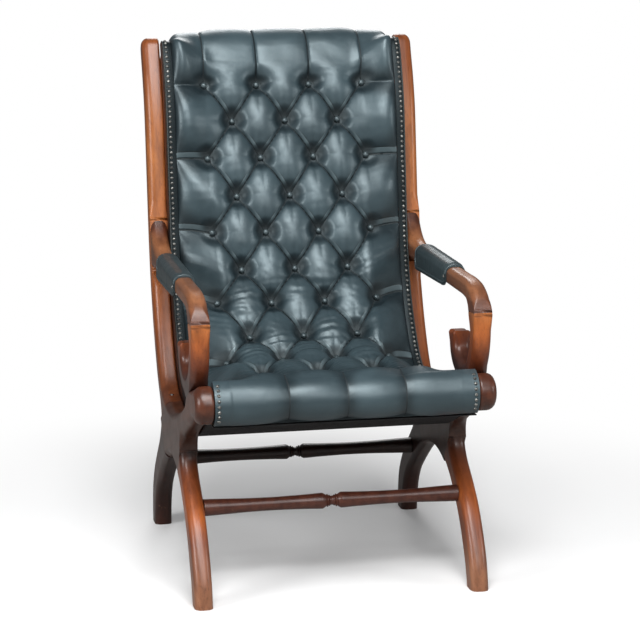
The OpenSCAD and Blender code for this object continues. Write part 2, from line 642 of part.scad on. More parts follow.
back_post("left");  // back_post_left
back_post("right");  // back_post_right
seat_rail("left");  // seat_rail_left
seat_rail("right");  // seat_rail_right
front_leg("left");  // front_leg_left
front_leg("right");  // front_leg_right
rear_leg("left");  // rear_leg_left
rear_leg("right");  // rear_leg_right
arm("left");  // arm_left
arm("right");  // arm_right
arm_scroll("left");  // arm_scroll_left
arm_scroll("right");  // arm_scroll_right
arm_pad("left");  // arm_pad_left
arm_pad("right");  // arm_pad_right
stretcher(-stretcher_reach);  // front_stretcher
stretcher(stretcher_reach);  // rear_stretcher
back_side_board("left");  // back_side_board_left
back_side_board("right");  // back_side_board_right
seat_side_board("left");  // seat_side_board_left
seat_side_board("right");  // seat_side_board_right
cross_rail(layer(crest_i[0], crest_i[1], 0, cross_rail_t));  // crest_rail
cross_rail(layer(lumbar_i[0], lumbar_i[1], 0, cross_rail_t));  // lumbar_rail
seat_front_rail();
frame_dowels();
board_screws();
webbing(layer(crest_i[0], lumbar_i[1] - 1, -gap - leather_t, -gap));  // back_webbing
webbing(band(concat(part_of(beyond(-gap - leather_t), lumbar_i[1], board_end_i),  // seat_webbing
        [for (end = [roll_back, roll_front]) end - [0, 2 * gap]]), 0, -leather_t));
back_cushion();
seat_cushion();
buttons();
nail_strip("left");  // nail_strip_left
nail_strip("right");  // nail_strip_right
nails("left");  // nails_left
nails("right");  // nails_right
roll_nails();
arm_pad_nails();
back_panel();
dust_cover();
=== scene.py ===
"""The looks of the chesterfield armchair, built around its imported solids.

The side view is written in metres with its first number to the back and its second upwards. Its
zero lies under the middle of the side frames, and `Lines.shift` moves it into the row's frame.
"""

from __future__ import annotations

import logging
import math
from dataclasses import dataclass, field
from enum import Enum

import bmesh
import bpy
import numpy as np
from mathutils import Matrix, Vector


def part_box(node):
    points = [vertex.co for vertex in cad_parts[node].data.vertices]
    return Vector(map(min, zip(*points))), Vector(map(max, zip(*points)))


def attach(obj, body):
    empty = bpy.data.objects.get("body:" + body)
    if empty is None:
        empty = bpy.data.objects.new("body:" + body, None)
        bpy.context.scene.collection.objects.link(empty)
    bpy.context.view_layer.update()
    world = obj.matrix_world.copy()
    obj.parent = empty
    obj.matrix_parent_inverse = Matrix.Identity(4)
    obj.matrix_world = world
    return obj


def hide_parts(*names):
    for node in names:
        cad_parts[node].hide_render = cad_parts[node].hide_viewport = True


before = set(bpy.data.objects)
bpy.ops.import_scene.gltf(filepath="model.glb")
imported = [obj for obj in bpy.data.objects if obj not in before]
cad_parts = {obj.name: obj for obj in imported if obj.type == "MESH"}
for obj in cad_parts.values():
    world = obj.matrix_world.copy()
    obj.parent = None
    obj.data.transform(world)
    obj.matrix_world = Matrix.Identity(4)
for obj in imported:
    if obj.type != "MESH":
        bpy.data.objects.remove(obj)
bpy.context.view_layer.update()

logging.basicConfig(level=logging.INFO, format="%(message)s")
log = logging.getLogger("armchair")

Colour = tuple[float, float, float]
Place = tuple[float, float, float]

# The space left between neighbouring pieces, in metres.
GAP = 0.0003


class Slot(Enum):
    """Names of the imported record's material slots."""

    LIGHT_WOOD = "light_wood"
    DARK_WOOD = "dark_wood"
    LEATHER = "leather"
    WEBBING = "webbing"
    DUST_CLOTH = "dust_cloth"
    NAIL = "nail_brass"


class Hand(Enum):
    """The two sides of the chair, as the sign of X."""

    LEFT = -1
    RIGHT = 1

    @property
    def word(self) -> str:
        """Gives the ending of the side's node names."""
        return self.name.lower()


# Nodes


class Value:
    """An output socket that takes part in Python expressions."""

    def __init__(self, nodes: Nodes, socket: bpy.types.NodeSocket) -> None:
        """Wraps one output socket.

        Args:
            nodes: The nodes that it belongs to.
            socket: The output socket.
        """
        self.nodes = nodes
        self.socket = socket

    def __add__(self, other: Value | float) -> Value:
        """Adds."""
        return self.nodes.one("ADD", self, other)

    __radd__ = __add__

    def __mul__(self, other: Value | float) -> Value:
        """Multiplies."""
        return self.nodes.one("MULTIPLY", self, other)

    __rmul__ = __mul__

    def __sub__(self, other: Value | float) -> Value:
        """Subtracts."""
        return self.nodes.one("SUBTRACT", self, other)

    def __rsub__(self, other: Value | float) -> Value:
        """Subtracts this value from a number."""
        return self.nodes.one("SUBTRACT", other, self)

    def step(self, low: float, high: float) -> Value:
        """Rises smoothly from 0 to 1.

        Args:
            low: Where the rise starts.
            high: Where it ends.

        Returns:
            The eased value.
        """
        node = self.nodes.add(
            "ShaderNodeMapRange",
            {"interpolation_type": "SMOOTHSTEP"},
            {"Value": self, "From Min": low, "From Max": high},
        )
        return self.nodes.value(node)


class Nodes:
    """The nodes of one tree."""

    def __init__(self, tree: bpy.types.NodeTree) -> None:
        """Starts on a tree."""
        self.tree = tree

    def add(self, kind: str, settings: dict | None = None, inputs: dict | None = None) -> bpy.types.Node:
        """Adds a node.

        Args:
            kind: The node's type.
            settings: Its properties, with a ramp's stops under "stops".
            inputs: Values or links by socket name or number.

        Returns:
            The node.
        """
        node = self.tree.nodes.new(kind)
        for key, setting in (settings or {}).items():
            if key == "stops":
                ramp = node.color_ramp
                while len(ramp.elements) < len(setting):
                    ramp.elements.new(1.0)
                for element, (place, colour) in zip(ramp.elements, setting):
                    element.position = place
                    element.color = (*colour, 1.0)
            else:
                setattr(node, key, setting)
        for key, given in (inputs or {}).items():
            if isinstance(given, Value):
                self.tree.links.new(given.socket, node.inputs[key])
            else:
                node.inputs[key].default_value = given
        return node

    def one(self, operation: str, *given: Value | float) -> Value:
        """Gives the result of one Math node."""
        return self.value(self.add("ShaderNodeMath", {"operation": operation}, dict(enumerate(given))))

    def value(self, node: bpy.types.Node, output: int | str = 0) -> Value:
        """Wraps a node's output."""
        return Value(self, node.outputs[output])


class Shader(Nodes):
    """One material with a Principled surface."""

    def __init__(self, name: str) -> None:
        """Starts an empty material.

        Args:
            name: The material's name.
        """
        self.material = bpy.data.materials.new(name)
        self.material.use_nodes = True
        super().__init__(self.material.node_tree)
        self.tree.nodes.clear()
        self.out = self.tree.nodes.new("ShaderNodeOutputMaterial")

    def place(self) -> Value:
        """Gives the object coordinates."""
        return self.value(self.add("ShaderNodeTexCoord"), "Object")

    def attribute(self, name: str) -> Value:
        """Gives a number stored on the mesh."""
        return self.value(self.add("ShaderNodeAttribute", {"attribute_name": name}), "Fac")

    def part(self, vector: Value, axis: str) -> Value:
        """Gives one part of a vector."""
        return self.value(self.add("ShaderNodeSeparateXYZ", None, {0: vector}), axis)

    def stretched(self, vector: Value, turn: float, scale: Place) -> Value:
        """Turns coordinates about X and then scales them.

        Args:
            vector: The coordinates.
            turn: The turn in radians.
            scale: The scale along each axis after the turn.

        Returns:
            The new coordinates.
        """
        turned = self.add("ShaderNodeMapping", None, {"Vector": vector, "Rotation": (turn, 0, 0)})
        scaled = self.add(
            "ShaderNodeVectorMath", {"operation": "MULTIPLY"}, {0: self.value(turned), 1: scale}
        )
        return self.value(scaled)

    def noise(self, vector: Value, scale: float, detail: float, rough: float = 0.5) -> Value:
        """Gives noise between about 0.25 and 0.75.

        Args:
            vector: The coordinates.
            scale: The noise's scale.
            detail: Number of finer layers.
            rough: Strength of the finer layers.

        Returns:
            The noise.
        """
        node = self.add(
            "ShaderNodeTexNoise",
            None,
            {"Vector": vector, "Scale": scale, "Detail": detail, "Roughness": rough},
        )
        return self.value(node)

    def mix(self, share: Value | float, a: Value | Colour, b: Value | Colour, blend: str = "MIX") -> Value:
        """Mixes two colours.

        Args:
            share: Share of the second colour.
            a: First colour.
            b: Second colour.
            blend: Blender's name of the blend.

        Returns:
            The mixed colour.
        """
        given = {0: share}
        for key, colour in ((6, a), (7, b)):
            given[key] = colour if isinstance(colour, Value) else (*colour, 1.0)
        node = self.add("ShaderNodeMix", {"data_type": "RGBA", "blend_type": blend}, given)
        return self.value(node, 2)

    def bump(self, height: Value, distance: float, strength: float) -> Value:
        """Gives a normal from heights.

        Args:
            height: The heights from 0 to 1.
            distance: What a height of 1 stands for, in metres.
            strength: The bump's strength.

        Returns:
            The normal.
        """
        node = self.add(
            "ShaderNodeBump", None, {"Height": height, "Distance": distance, "Strength": strength}
        )
        return self.value(node)

    def finish(self, **inputs: Value | float | Colour) -> bpy.types.Material:
        """Closes the material.

        Args:
            **inputs: The surface's sockets, with an underscore for each space.

        Returns:
            The material.
        """
        given = {
            key.replace("_", " "): (*v, 1.0) if isinstance(v, tuple) else v for key, v in inputs.items()
        }
        surface = self.add("ShaderNodeBsdfPrincipled", None, given)
        self.tree.links.new(surface.outputs[0], self.out.inputs["Surface"])
        return self.material


# Finishes


@dataclass(frozen=True)
class LeatherFinish:
    """Leather with painted shade in its folds and the buttons' pockets, and crowns made paler partly by
    wear and partly by a painted highlight.

    The mesh tells it where it is, by the attributes that `Upholstery.facts` gives.

    Attributes:
        name: The material's name.
        base: Its colour in the hollows.
        worn: Its colour on the crowns, paler partly by wear and partly as a painted highlight.
        crease: Painted shade in the folds, along the tucks' edges and in the buttons' pockets.
        tucked: Painted highlight on the tuck of leather above each button.
        grain: Scale of its fine cells.
        shine: How strongly it shines.
        shine_tint: Colour of that shine.
        relief: Height of its bumps, in metres.
        tuck_line: Place of the tuck's edge, where a line of painted shade runs, as a share of a pillow.
        folded: Whether it is marked with the folds between buttons: their bump and roughness, painted
            shade in them and in the pockets, and a painted highlight on the tucks.
    """

    name: str
    base: Colour = (0.007, 0.014, 0.018)
    worn: Colour = (0.043, 0.069, 0.081)
    crease: Colour = (0.0012, 0.0020, 0.0025)
    tucked: Colour = (0.125, 0.170, 0.185)
    grain: float = 620.0
    shine: float = 0.95
    shine_tint: Colour = (0.80, 0.95, 1.0)
    relief: float = 0.0012
    tuck_line: float = 0.088
    folded: bool = True

    def fold(self, s: Shader) -> tuple[Value, Value, Value]:
        """Gives the lines of the folds between the buttons.

        Args:
            s: The material.

        Returns:
            The folds, the edges of the tucks of leather above each button, and those tucks.
        """
        across, down = s.attribute("across"), s.attribute("down")
        a, b = [s.one("FRACT", across + 0.5 + way * 0.5 * down) for way in (1.0, -1.0)]
        near = s.one("MINIMUM", s.one("MINIMUM", a, 1 - a), s.one("MINIMUM", b, 1 - b))
        reach = s.noise(s.place(), 11.0, 1.0) * 0.5
        edges, tucks = [], []
        for far, along in ((1 - a, b), (b, 1 - a)):
            held = 1 - along.step(0.28, 0.36 + reach)
            edges.append((1 - s.one("ABSOLUTE", far - self.tuck_line).step(0.002, 0.011)) * held)
            tucks.append(far.step(0.010, 0.024) * (1 - far.step(0.076, 0.086)) * held)
        return 1 - near.step(0.005, 0.019), s.one("MAXIMUM", *edges), s.one("MAXIMUM", *tucks)

    def build(self) -> bpy.types.Material:
        """Makes the material.

        Returns:
            The material.
        """
        s = Shader(self.name)
        place = s.place()
        crown = s.attribute("crown")
        patches = s.noise(place, 7.0, 4.0, 0.6).step(0.38, 0.68)
        scuffs = s.noise(place, 46.0, 5.0, 0.62).step(0.5, 0.72)
        # Paler on the pillows' crowns and darker in their hollows: partly wear, partly a painted highlight
        # with painted shade. Scuffs on the crowns take the paler colour too.
        colour = s.mix(crown.step(0.30, 0.80) * (0.5 + 0.4 * patches), self.base, self.worn)
        colour = s.mix(scuffs * crown * 0.22, colour, self.worn)
        cells = s.value(s.add("ShaderNodeTexVoronoi", None, {"Vector": place, "Scale": self.grain}))
        folds = s.noise(s.stretched(place, 0.35, (1.0, 1.0, 0.42)), 95.0, 5.0, 0.66)
        height = cells * 0.12 + folds * 0.5
        rough = 0.35 + 0.10 * s.noise(place, 30.0, 3.0) + 0.10 * scuffs
        if self.folded:
            deep, edge, tuck = self.fold(s)
            pocket = s.attribute("pocket")
            # Painted highlight on the tucks above the buttons; painted shade in the folds, along the
            # tucks' edges and in the buttons' pockets.
            colour = s.mix(tuck * 0.6 * pocket, colour, self.tucked)
            colour = s.mix(s.one("MAXIMUM", deep, edge * 0.85), colour, self.crease)
            colour = s.mix(1 - pocket, colour, self.crease)
            rough = rough + 0.3 * deep + 0.25 * (1 - pocket)
            height = height + 0.6 * tuck - 0.9 * deep
        return s.finish(
            Base_Color=colour,
            Roughness=rough,
            Normal=s.bump(height, self.relief, 0.42),
            Specular_IOR_Level=self.shine,
            Specular_Tint=self.shine_tint,
        )


@dataclass(frozen=True)
class WoodFinish:
    """Polished wood, whose tones follow the height as the maker's stain does.

    Attributes:
        name: The material's name.
        tones: Heights in metres with the stain's colour there.
        turn: Direction of the grain in the side view, in degrees from the floor.
        gloss: Roughness before its uneven part.
        span: Height that the ramp of tones covers, in metres.
        figure: What the grain's dark stripes are multiplied by.
        pore: What its pores are multiplied by.
        rubbed: Colour of the rubbed spots.
        coat: Strength of the polish.
        coat_rough: Roughness of the polish.
    """

    name: str
    tones: tuple[tuple[float, Colour], ...]
    turn: float
    gloss: float = 0.3
    span: float = 1.06
    figure: Colour = (0.30, 0.22, 0.18)
    pore: Colour = (0.25, 0.16, 0.12)
    rubbed: Colour = (0.36, 0.19, 0.10)
    coat: float = 0.18
    coat_rough: float = 0.24

    def build(self) -> bpy.types.Material:
        """Makes the material.

        Returns:
            The material.
        """
        s = Shader(self.name)
        place = s.place()
        wander = s.noise(place, 9.0, 3.0)
        height = (s.part(place, "Z") + (wander - 0.5) * 0.07) * (1 / self.span)
        stops = [(z / self.span, colour) for z, colour in self.tones]
        toned = s.value(s.add("ShaderNodeValToRGB", {"stops": stops}, {0: height}))
        run = s.stretched(place, -math.radians(self.turn), (1.0, 0.07, 1.0))
        figure = s.noise(run, 55.0, 4.0, 0.55)
        pores = s.noise(run, 420.0, 2.0, 0.5)
        colour = s.mix(figure.step(0.36, 0.66) * 0.55, toned, self.figure, "MULTIPLY")
        colour = s.mix(pores.step(0.55, 0.72) * 0.35, colour, self.pore, "MULTIPLY")
        rubs = s.noise(place, 120.0, 4.0, 0.7).step(0.62, 0.74)
        colour = s.mix(rubs * 0.22, colour, self.rubbed)
        rough = self.gloss + 0.16 * s.noise(place, 24.0, 3.0) + 0.1 * rubs
        return s.finish(
            Base_Color=colour,
            Roughness=rough,
            Normal=s.bump(figure * 0.7 + pores * 0.3, 0.0004, 0.35),
            Coat_Weight=self.coat,
            Coat_Roughness=self.coat_rough,
        )


@dataclass(frozen=True)
class ClothFinish:
    """Plain woven cloth, braid or strap.

    Attributes:
        name: The material's name.
        warp: Colour of the threads one way.
        weft: Colour of the threads the other way.
        pitch: Distance between threads, in metres.
        soil: What its soiled spots are multiplied by.
    """

    name: str
    warp: Colour
    weft: Colour
    pitch: float
    soil: Colour = (0.45, 0.42, 0.38)

    def build(self) -> bpy.types.Material:
        """Makes the material.

        Returns:
            The material.
        """
        s = Shader(self.name)
        place = s.place()
        across = s.part(place, "X")
        along = s.part(place, "Y") + s.part(place, "Z")
        turns = 2 * math.pi / self.pitch
        across, along = [s.one("SINE", run * turns) * 0.5 + 0.5 for run in (across, along)]
        threads = across * along
        soil = s.noise(place, 18.0, 4.0).step(0.3, 0.75)
        colour = s.mix(threads, self.warp, self.weft)
        colour = s.mix(soil * 0.35, colour, self.soil, "MULTIPLY")
        return s.finish(
            Base_Color=colour, Roughness=0.86 + 0.08 * soil, Normal=s.bump(threads, 0.0004, 0.6)
        )


@dataclass(frozen=True)
class MetalFinish:
    """Aged metal with darker tarnish.

    Attributes:
        name: The material's name.
        bright: Colour where it is clean.
        tarnish: Colour where it is tarnished.
        roughness: Its least roughness.
    """

    name: str
    bright: Colour
    tarnish: Colour
    roughness: float = 0.34

    def build(self) -> bpy.types.Material:
        """Makes the material.

        Returns:
            The material.
        """
        s = Shader(self.name)
        place = s.place()
        age = s.noise(place, 210.0, 4.0, 0.62).step(0.36, 0.66)
        colour = s.mix(age, self.bright, self.tarnish)
        return s.finish(
            Base_Color=colour,
            Metallic=1 - 0.45 * age,
            Roughness=self.roughness + 0.25 * age,
            Normal=s.bump(age, 0.0003, 0.4),
        )


# Colours of the stain.
DARK = (0.024, 0.008, 0.005)
BROWN = (0.100, 0.028, 0.012)
ORANGE = (0.40, 0.105, 0.020)
AMBER = (0.44, 0.150, 0.040)
PLUM = (0.23, 0.070, 0.034)
FOOT = (0.34, 0.145, 0.075)

# The stain of each board, with painted shade for the rear stretcher: heights in metres with their colours.
POST_TONES = (
    (0.28, (0.080, 0.024, 0.011)),
    (0.36, (0.24, 0.066, 0.017)),
    (0.45, ORANGE),
    (0.78, AMBER),
    (0.96, (0.25, 0.068, 0.016)),
)
SIDE_TONES = (
    (0.36, DARK),
    (0.44, BROWN),
    (0.60, BROWN),
    (0.72, (0.20, 0.062, 0.026)),
    (1.0, (0.22, 0.070, 0.030)),
)
RAIL_TONES = (
    (0.20, (0.060, 0.021, 0.011)),
    (0.33, (0.066, 0.023, 0.012)),
    (0.40, BROWN),
    (0.44, BROWN),
)
LEG_TONES = (
    (0.0, FOOT),
    (0.04, FOOT),
    (0.11, PLUM),
    (0.165, (0.46, 0.115, 0.022)),
    (0.21, (0.24, 0.060, 0.018)),
    (0.26, DARK),
)
REAR_TONES = (
    (0.0, (0.050, 0.015, 0.009)),
    (0.15, (0.040, 0.012, 0.007)),
    (0.26, DARK),
)
ARM_TONES = (
    (0.53, BROWN),
    (0.565, (0.15, 0.048, 0.022)),
    (0.60, (0.30, 0.12, 0.05)),
    (0.64, BROWN),
    (0.68, DARK),
)
SCROLL_TONES = (
    (0.40, DARK),
    (0.43, (0.06, 0.018, 0.010)),
    (0.47, (0.19, 0.045, 0.014)),
    (0.515, (0.42, 0.11, 0.024)),
    (0.56, AMBER),
)
TURNED_TONES = ((0.13, (0.11, 0.032, 0.018)), (0.20, (0.11, 0.032, 0.018)))
# The rear stretcher takes the turned stain made darker, as painted shade under the seat.
SHADED_TONES = ((0.13, DARK), (0.20, DARK))
BEECH_TONES = ((0.0, (0.52, 0.35, 0.19)), (1.0, (0.56, 0.39, 0.22)))


# Lines and meshes


def ease(t: np.ndarray | float) -> np.ndarray:
    """Rises smoothly from 0 to 1, as its argument does."""
    k = np.clip(t, 0.0, 1.0)
    return k * k * (3 - 2 * k)


def on_line(points: np.ndarray, t: np.ndarray) -> np.ndarray:
    """Gives places on the smooth line through points.

    Args:
        points: The points, one a row.
        t: Places on the line, counted in points.

    Returns:
        The places, one a row.
    """
    last = len(points) - 1
    k = np.clip(np.floor(t).astype(int), 0, last - 1)
    f = (t - k)[:, None]
    a, b = points[np.maximum(k - 1, 0)], points[k]
    c, d = points[k + 1], points[np.minimum(k + 2, last)]
    return (2 * b + (c - a) * f + (2 * a - 5 * b + 4 * c - d) * f**2 + (3 * b - 3 * c + d - a) * f**3) / 2


def right_of(line: np.ndarray) -> np.ndarray:
    """Gives the directions to the right of a line.

    Args:
        line: The line's points, one a row.

    Returns:
        A unit direction for each point.
    """
    d = np.gradient(line, axis=0)
    d /= np.linalg.norm(d, axis=1)[:, None]
    return np.stack([d[:, 1], -d[:, 0]], axis=1)


def circle(sides: int) -> np.ndarray:
    """Gives the angles of points spread evenly round a circle."""
    return np.arange(sides) * 2 * math.pi / sides


def evenly_worn(rings: np.ndarray, crown: float) -> dict[str, np.ndarray]:
    """Gives every point of a mesh the same crown number, which the leather's finish reads for its wear and
    painted highlight.
    """
    return {"crown": np.full(rings.shape[:2], crown)}


def new_piece(name: str, mesh: bpy.types.Mesh, finish: bpy.types.Material) -> bpy.types.Object:
    """Puts a mesh in the scene as a piece of the chair.

    Args:
        name: The piece's name.
        mesh: Its mesh, in the row's frame.
        finish: Its material.

    Returns:
        The piece.
    """
    piece = bpy.data.objects.new(name, mesh)
    bpy.context.scene.collection.objects.link(piece)
    mesh.materials.clear()
    mesh.materials.append(finish)
    return piece


def soften(piece: bpy.types.Object, sharp: float = 40.0) -> None:
    """Shades a piece smooth, with normals that keep its flats flat.

    Args:
        piece: The piece.
        sharp: Edges that turn further than this, in degrees, stay sharp.
    """
    piece.data.shade_smooth()
    piece.data.set_sharp_from_angle(angle=math.radians(sharp))
    modifier = piece.modifiers.new("even_normals", "WEIGHTED_NORMAL")
    modifier.keep_sharp = True


def ring_mesh(
    name: str, rings: np.ndarray, facts: dict[str, np.ndarray] | None = None, looped: bool = False
) -> bpy.types.Mesh:
    """Skins closed rings, each with equally many points.

    Args:
        name: The mesh's name.
        rings: The points as an array of ring, point and coordinate.
        facts: Numbers to store on each point, by name.
        looped: Whether the last ring joins the first.

    Returns:
        A closed mesh with its faces outwards.
    """
    m, n = rings.shape[:2]
    r = np.arange(m if looped else m - 1)[:, None]
    k = np.arange(n)[None, :]
    j, after = (k + 1) % n, (r + 1) % m
    quads = np.stack([r * n + k, r * n + j, after * n + j, after * n + k], axis=2).reshape(-1, 4)
    faces = quads.tolist()
    if not looped:
        faces += [list(range(n - 1, -1, -1)), list(range((m - 1) * n, m * n))]
    mesh = bpy.data.meshes.new(name)
    mesh.from_pydata(rings.reshape(-1, 3).tolist(), [], faces)
    for key, numbers in (facts or {}).items():
        layer = mesh.attributes.new(key, "FLOAT", "POINT")
        layer.data.foreach_set("value", np.ascontiguousarray(numbers, np.float32).ravel())
    made = bmesh.new()
    made.from_mesh(mesh)
    bmesh.ops.remove_doubles(made, verts=made.verts, dist=1e-6)
    bmesh.ops.recalc_face_normals(made, faces=made.faces)
    made.to_mesh(mesh)
    made.free()
    return mesh


def swept(name: str, path: np.ndarray, profile: np.ndarray) -> bpy.types.Mesh:
    """Sweeps a closed profile along a line of the side view.

    Args:
        name: The mesh's name.
        path: The line, in the row's frame.
        profile: Points of X and height to the right of the line.

    Returns:
        The mesh.
    """
    side = right_of(path)
    rings = np.empty((len(path), len(profile), 3))
    rings[:, :, 0] = profile[None, :, 0]
    rings[:, :, 1:] = path[:, None, :] + side[:, None, :] * profile[None, :, 1:2]
    return ring_mesh(name, rings, evenly_worn(rings, 0.7))


def tube(name: str, path: np.ndarray, radius: float, sides: int = 10) -> bpy.types.Mesh:
    """Makes a round cord through points in space, which closes on itself.

    Args:
        name: The mesh's name.
        path: The points.
        radius: The cord's radius.
        sides: Number of its sides.

    Returns:
        The mesh.
    """
    ahead = np.roll(path, -1, axis=0) - np.roll(path, 1, axis=0)
    ahead /= np.linalg.norm(ahead, axis=1)[:, None]
    slanted = np.array([0.31, 0.52, 0.79])
    side = np.cross(ahead[0], slanted)
    side /= np.linalg.norm(side)
    turns = circle(sides)[:, None]
    rings = []
    for p, a in zip(path, ahead):
        side = side - a * (side @ a)
        side /= np.linalg.norm(side)
        rings.append(p + radius * (np.cos(turns) * side + np.sin(turns) * np.cross(a, side)))
    rings = np.array(rings)
    return ring_mesh(name, rings, evenly_worn(rings, 0.8), looped=True)


def lathe(name: str, profile: np.ndarray, sides: int = 40) -> bpy.types.Mesh:
    """Turns a profile about the X axis.

    Args:
        name: The mesh's name.
        profile: Points of radius and place along X.
        sides: Number of sides.

    Returns:
        The mesh.
    """
    turns = circle(sides)
    radius, place = profile[:, :1], profile[:, 1:]
    rings = np.empty((len(profile), sides, 3))
    rings[:, :, 0] = place
    rings[:, :, 1] = radius * np.cos(turns)
    rings[:, :, 2] = radius * np.sin(turns)
    return ring_mesh(name, rings)


@dataclass
class Lines:
    """The side view that the upholstery follows, as the part's source gives it.

    The lines run from the crest over the back, the seat and the front roll, and their points are
    counted in rows. The back's points are shares of the rake and the rise of the posts, and the seat's
    are shares of the reach and the rise of the rails' noses. Sizes are in metres.

    Attributes:
        post_rake: How far the posts lean back.
        back_rise: Height of the posts above the dip of the seat rails.
        waist_z: Height of that dip.
        nose_reach: Distance of the noses in front of the dip.
        nose_rise: Height of the noses above the dip.
        nose_r: Their radius.
        roll_r: Radius of the leather's front roll.
        pitch: Distance between neighbouring buttons of a row.
        pillow: Height of the pillows above the buttons.
        half: Half the width of the buttoned leather.
        inner_x: Place of the side frames' inner faces.
        board_t: Thickness of the side boards.
        board_w: Width of the side boards.
        row_step: Distance between the rows of buttons.
        outermost: Place of the outermost buttons, in pitches.
        top_row: Row where the leather comes over the crest rail.
        first_row: First row of buttons.
        seam_row: Row where the back ends and the seat begins.
        last_row: Last row of buttons.
        front_row: Row where the front roll begins.
        side_back: The leather's line beside the side boards, along the back.
        side_seat: The same line along the seat.
        button_back: The line of the buttons' pockets, along the back.
        button_seat: The same line along the seat.
        over_crest: The leather's rear line above the crest rail.
        shift: What is added to a place to the back, for the row's frame.
        side: The line beside the side boards, in the row's frame.
        button: The line of the pockets, in the row's frame.
        roll_mid: Middle of the front roll, in the row's frame.
    """

    post_rake: float = 0.352
    back_rise: float = 0.712
    waist_z: float = 0.316
    nose_reach: float = 0.309
    nose_rise: float = 0.084
    nose_r: float = 0.036
    roll_r: float = 0.045
    pitch: float = 0.112
    pillow: float = 0.030
    half: float = 0.2344
    inner_x: float = 0.253
    board_t: float = 0.018
    board_w: float = 0.058
    row_step: float = 0.077
    outermost: float = 1.5
    top_row: int = 3
    first_row: int = 4
    seam_row: int = 12
    last_row: int = 13
    front_row: int = 16
    side_back: tuple = (
        (1.131, 0.926), (1.086, 0.956), (0.996, 0.976), (0.898, 0.98), (0.801, 0.872), (0.75, 0.767),
        (0.722, 0.659), (0.693, 0.556), (0.665, 0.455), (0.622, 0.354), (0.557, 0.258),
        (0.455, 0.169), (0.301, 0.081),
    )
    side_seat: tuple = ((-0.09, 0.214), (0.194, 0.262), (0.469, 0.595), (0.68, 0.952), (0.835, 1.202))
    button_back: tuple = (
        (1.131, 0.947), (1.091, 0.975), (1.011, 0.966), (0.949, 0.913), (0.898, 0.858),
        (0.827, 0.757), (0.759, 0.653), (0.676, 0.546), (0.6, 0.444), (0.523, 0.341),
        (0.418, 0.25), (0.253, 0.166), (0.071, 0.114),
    )
    button_seat: tuple = ((0.21, 0.881), (0.453, 1), (0.647, 1.214), (0.809, 1.43), (0.922, 1.536))
    over_crest: tuple = ((1.111, 0.937), (1.082, 0.943), (1.057, 0.949), (1.036, 0.95))
    shift: float = field(init=False)
    side: np.ndarray = field(init=False)
    button: np.ndarray = field(init=False)
    roll_mid: np.ndarray = field(init=False)

    def __post_init__(self) -> None:
        """Works out the lines in the row's frame."""
        self.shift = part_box("seat_rail_right")[0].y + self.nose_reach + self.nose_r
        self.side = np.vstack([self.back(self.side_back), self.seat(self.side_seat)])
        self.button = np.vstack([self.back(self.button_back), self.seat(self.button_seat)])
        roll_y = -self.nose_reach + self.roll_r / 5 + self.shift
        self.roll_mid = np.array([roll_y, self.waist_z + self.nose_rise])

    def back(self, shares: tuple) -> np.ndarray:
        """Gives points from shares of the rake and of the rise of the posts."""
        return self.scaled(shares, self.post_rake, self.back_rise)

    def seat(self, shares: tuple) -> np.ndarray:
        """Gives points from shares of the reach and of the rise of the noses."""
        return self.scaled(shares, -self.nose_reach, self.nose_rise)

    def scaled(self, shares: tuple, reach: float, rise: float) -> np.ndarray:
        """Gives points of the side view from their shares of two lengths.

        Args:
            shares: The pairs of shares.
            reach: The length to the back.
            rise: The length upwards from the dip.

        Returns:
            The points in the row's frame.
        """
        s = np.array(shares, float)
        return np.stack([reach * s[:, 0] + self.shift, self.waist_z + rise * s[:, 1]], axis=1)

    def side_at(self, rows: np.ndarray, far: float = 0.0) -> np.ndarray:
        """Gives the side line moved to its right.

        Args:
            rows: Places, counted in rows.
            far: The distance.

        Returns:
            The places.
        """
        line = on_line(self.side, rows)
        return line + right_of(line) * far

    def beyond(self, rows: np.ndarray, far: float) -> np.ndarray:
        """Gives the line that lies beyond the rear edge of the side boards.

        Args:
            rows: Places, counted in rows.
            far: The distance from that edge.

        Returns:
            The places.
        """
        return self.side_at(rows, -self.board_w - far)

    @property
    def deepest(self) -> int:
        """Gives the last row of buttons, counted from the first one."""
        return self.last_row - self.first_row

    def reach(self, k: int) -> float:
        """Gives the place in pitches of the outermost buttons in row k, as the rows take turns."""
        return self.outermost - 0.5 * (k % 2)

    @staticmethod
    def waves(u: np.ndarray, v: np.ndarray) -> list[np.ndarray]:
        """Gives the two crossing waves of the diamond pattern, each 0 along its folds."""
        return [np.abs(np.sin(np.pi * (u + 0.5 + way * v / 2))) for way in (1, -1)]

    def rise(self, u: np.ndarray, v: np.ndarray) -> np.ndarray:
        """Gives the pillows' height from 0 at the buttons to 1 at their crowns.

        Args:
            u: Places across, in pitches.
            v: Places down, in rows from the first buttons.

        Returns:
            The heights.
        """
        p, q = self.waves(u, v)
        return 0.57 * (p * q) ** 0.56 + 0.43 * np.maximum(p, q) ** 0.6

    def folds(self, x: np.ndarray, rows: np.ndarray) -> tuple[np.ndarray, np.ndarray]:
        """Gives each place on the button pattern, which the folds follow.

        Args:
            x: Places across, in metres.
            rows: Places down, counted in rows.

        Returns:
            The places across in pitches and down in rows.
        """
        down = rows - self.first_row
        u = np.abs(x) / self.pitch
        across = np.where(down < 0, u, np.minimum(u, self.outermost))
        down = np.clip(down, 0, self.deepest)
        return across, np.broadcast_to(down, across.shape)

    def from_button(self, x: np.ndarray, v: np.ndarray) -> np.ndarray:
        """Gives the distance to the nearest button.

        Args:
            x: Places across, in metres.
            v: Places down, in rows from the first buttons.

        Returns:
            The distances in metres.
        """
        best = np.full(np.broadcast(x, v).shape, 1.0)
        for k in range(self.deepest + 1):
            reach = self.reach(k)
            offset = reach % 1
            column = np.clip(np.round(x / self.pitch - offset) + offset, -reach, reach)
            best = np.minimum(best, np.hypot(x - column * self.pitch, (v - k) * self.row_step))
        return best

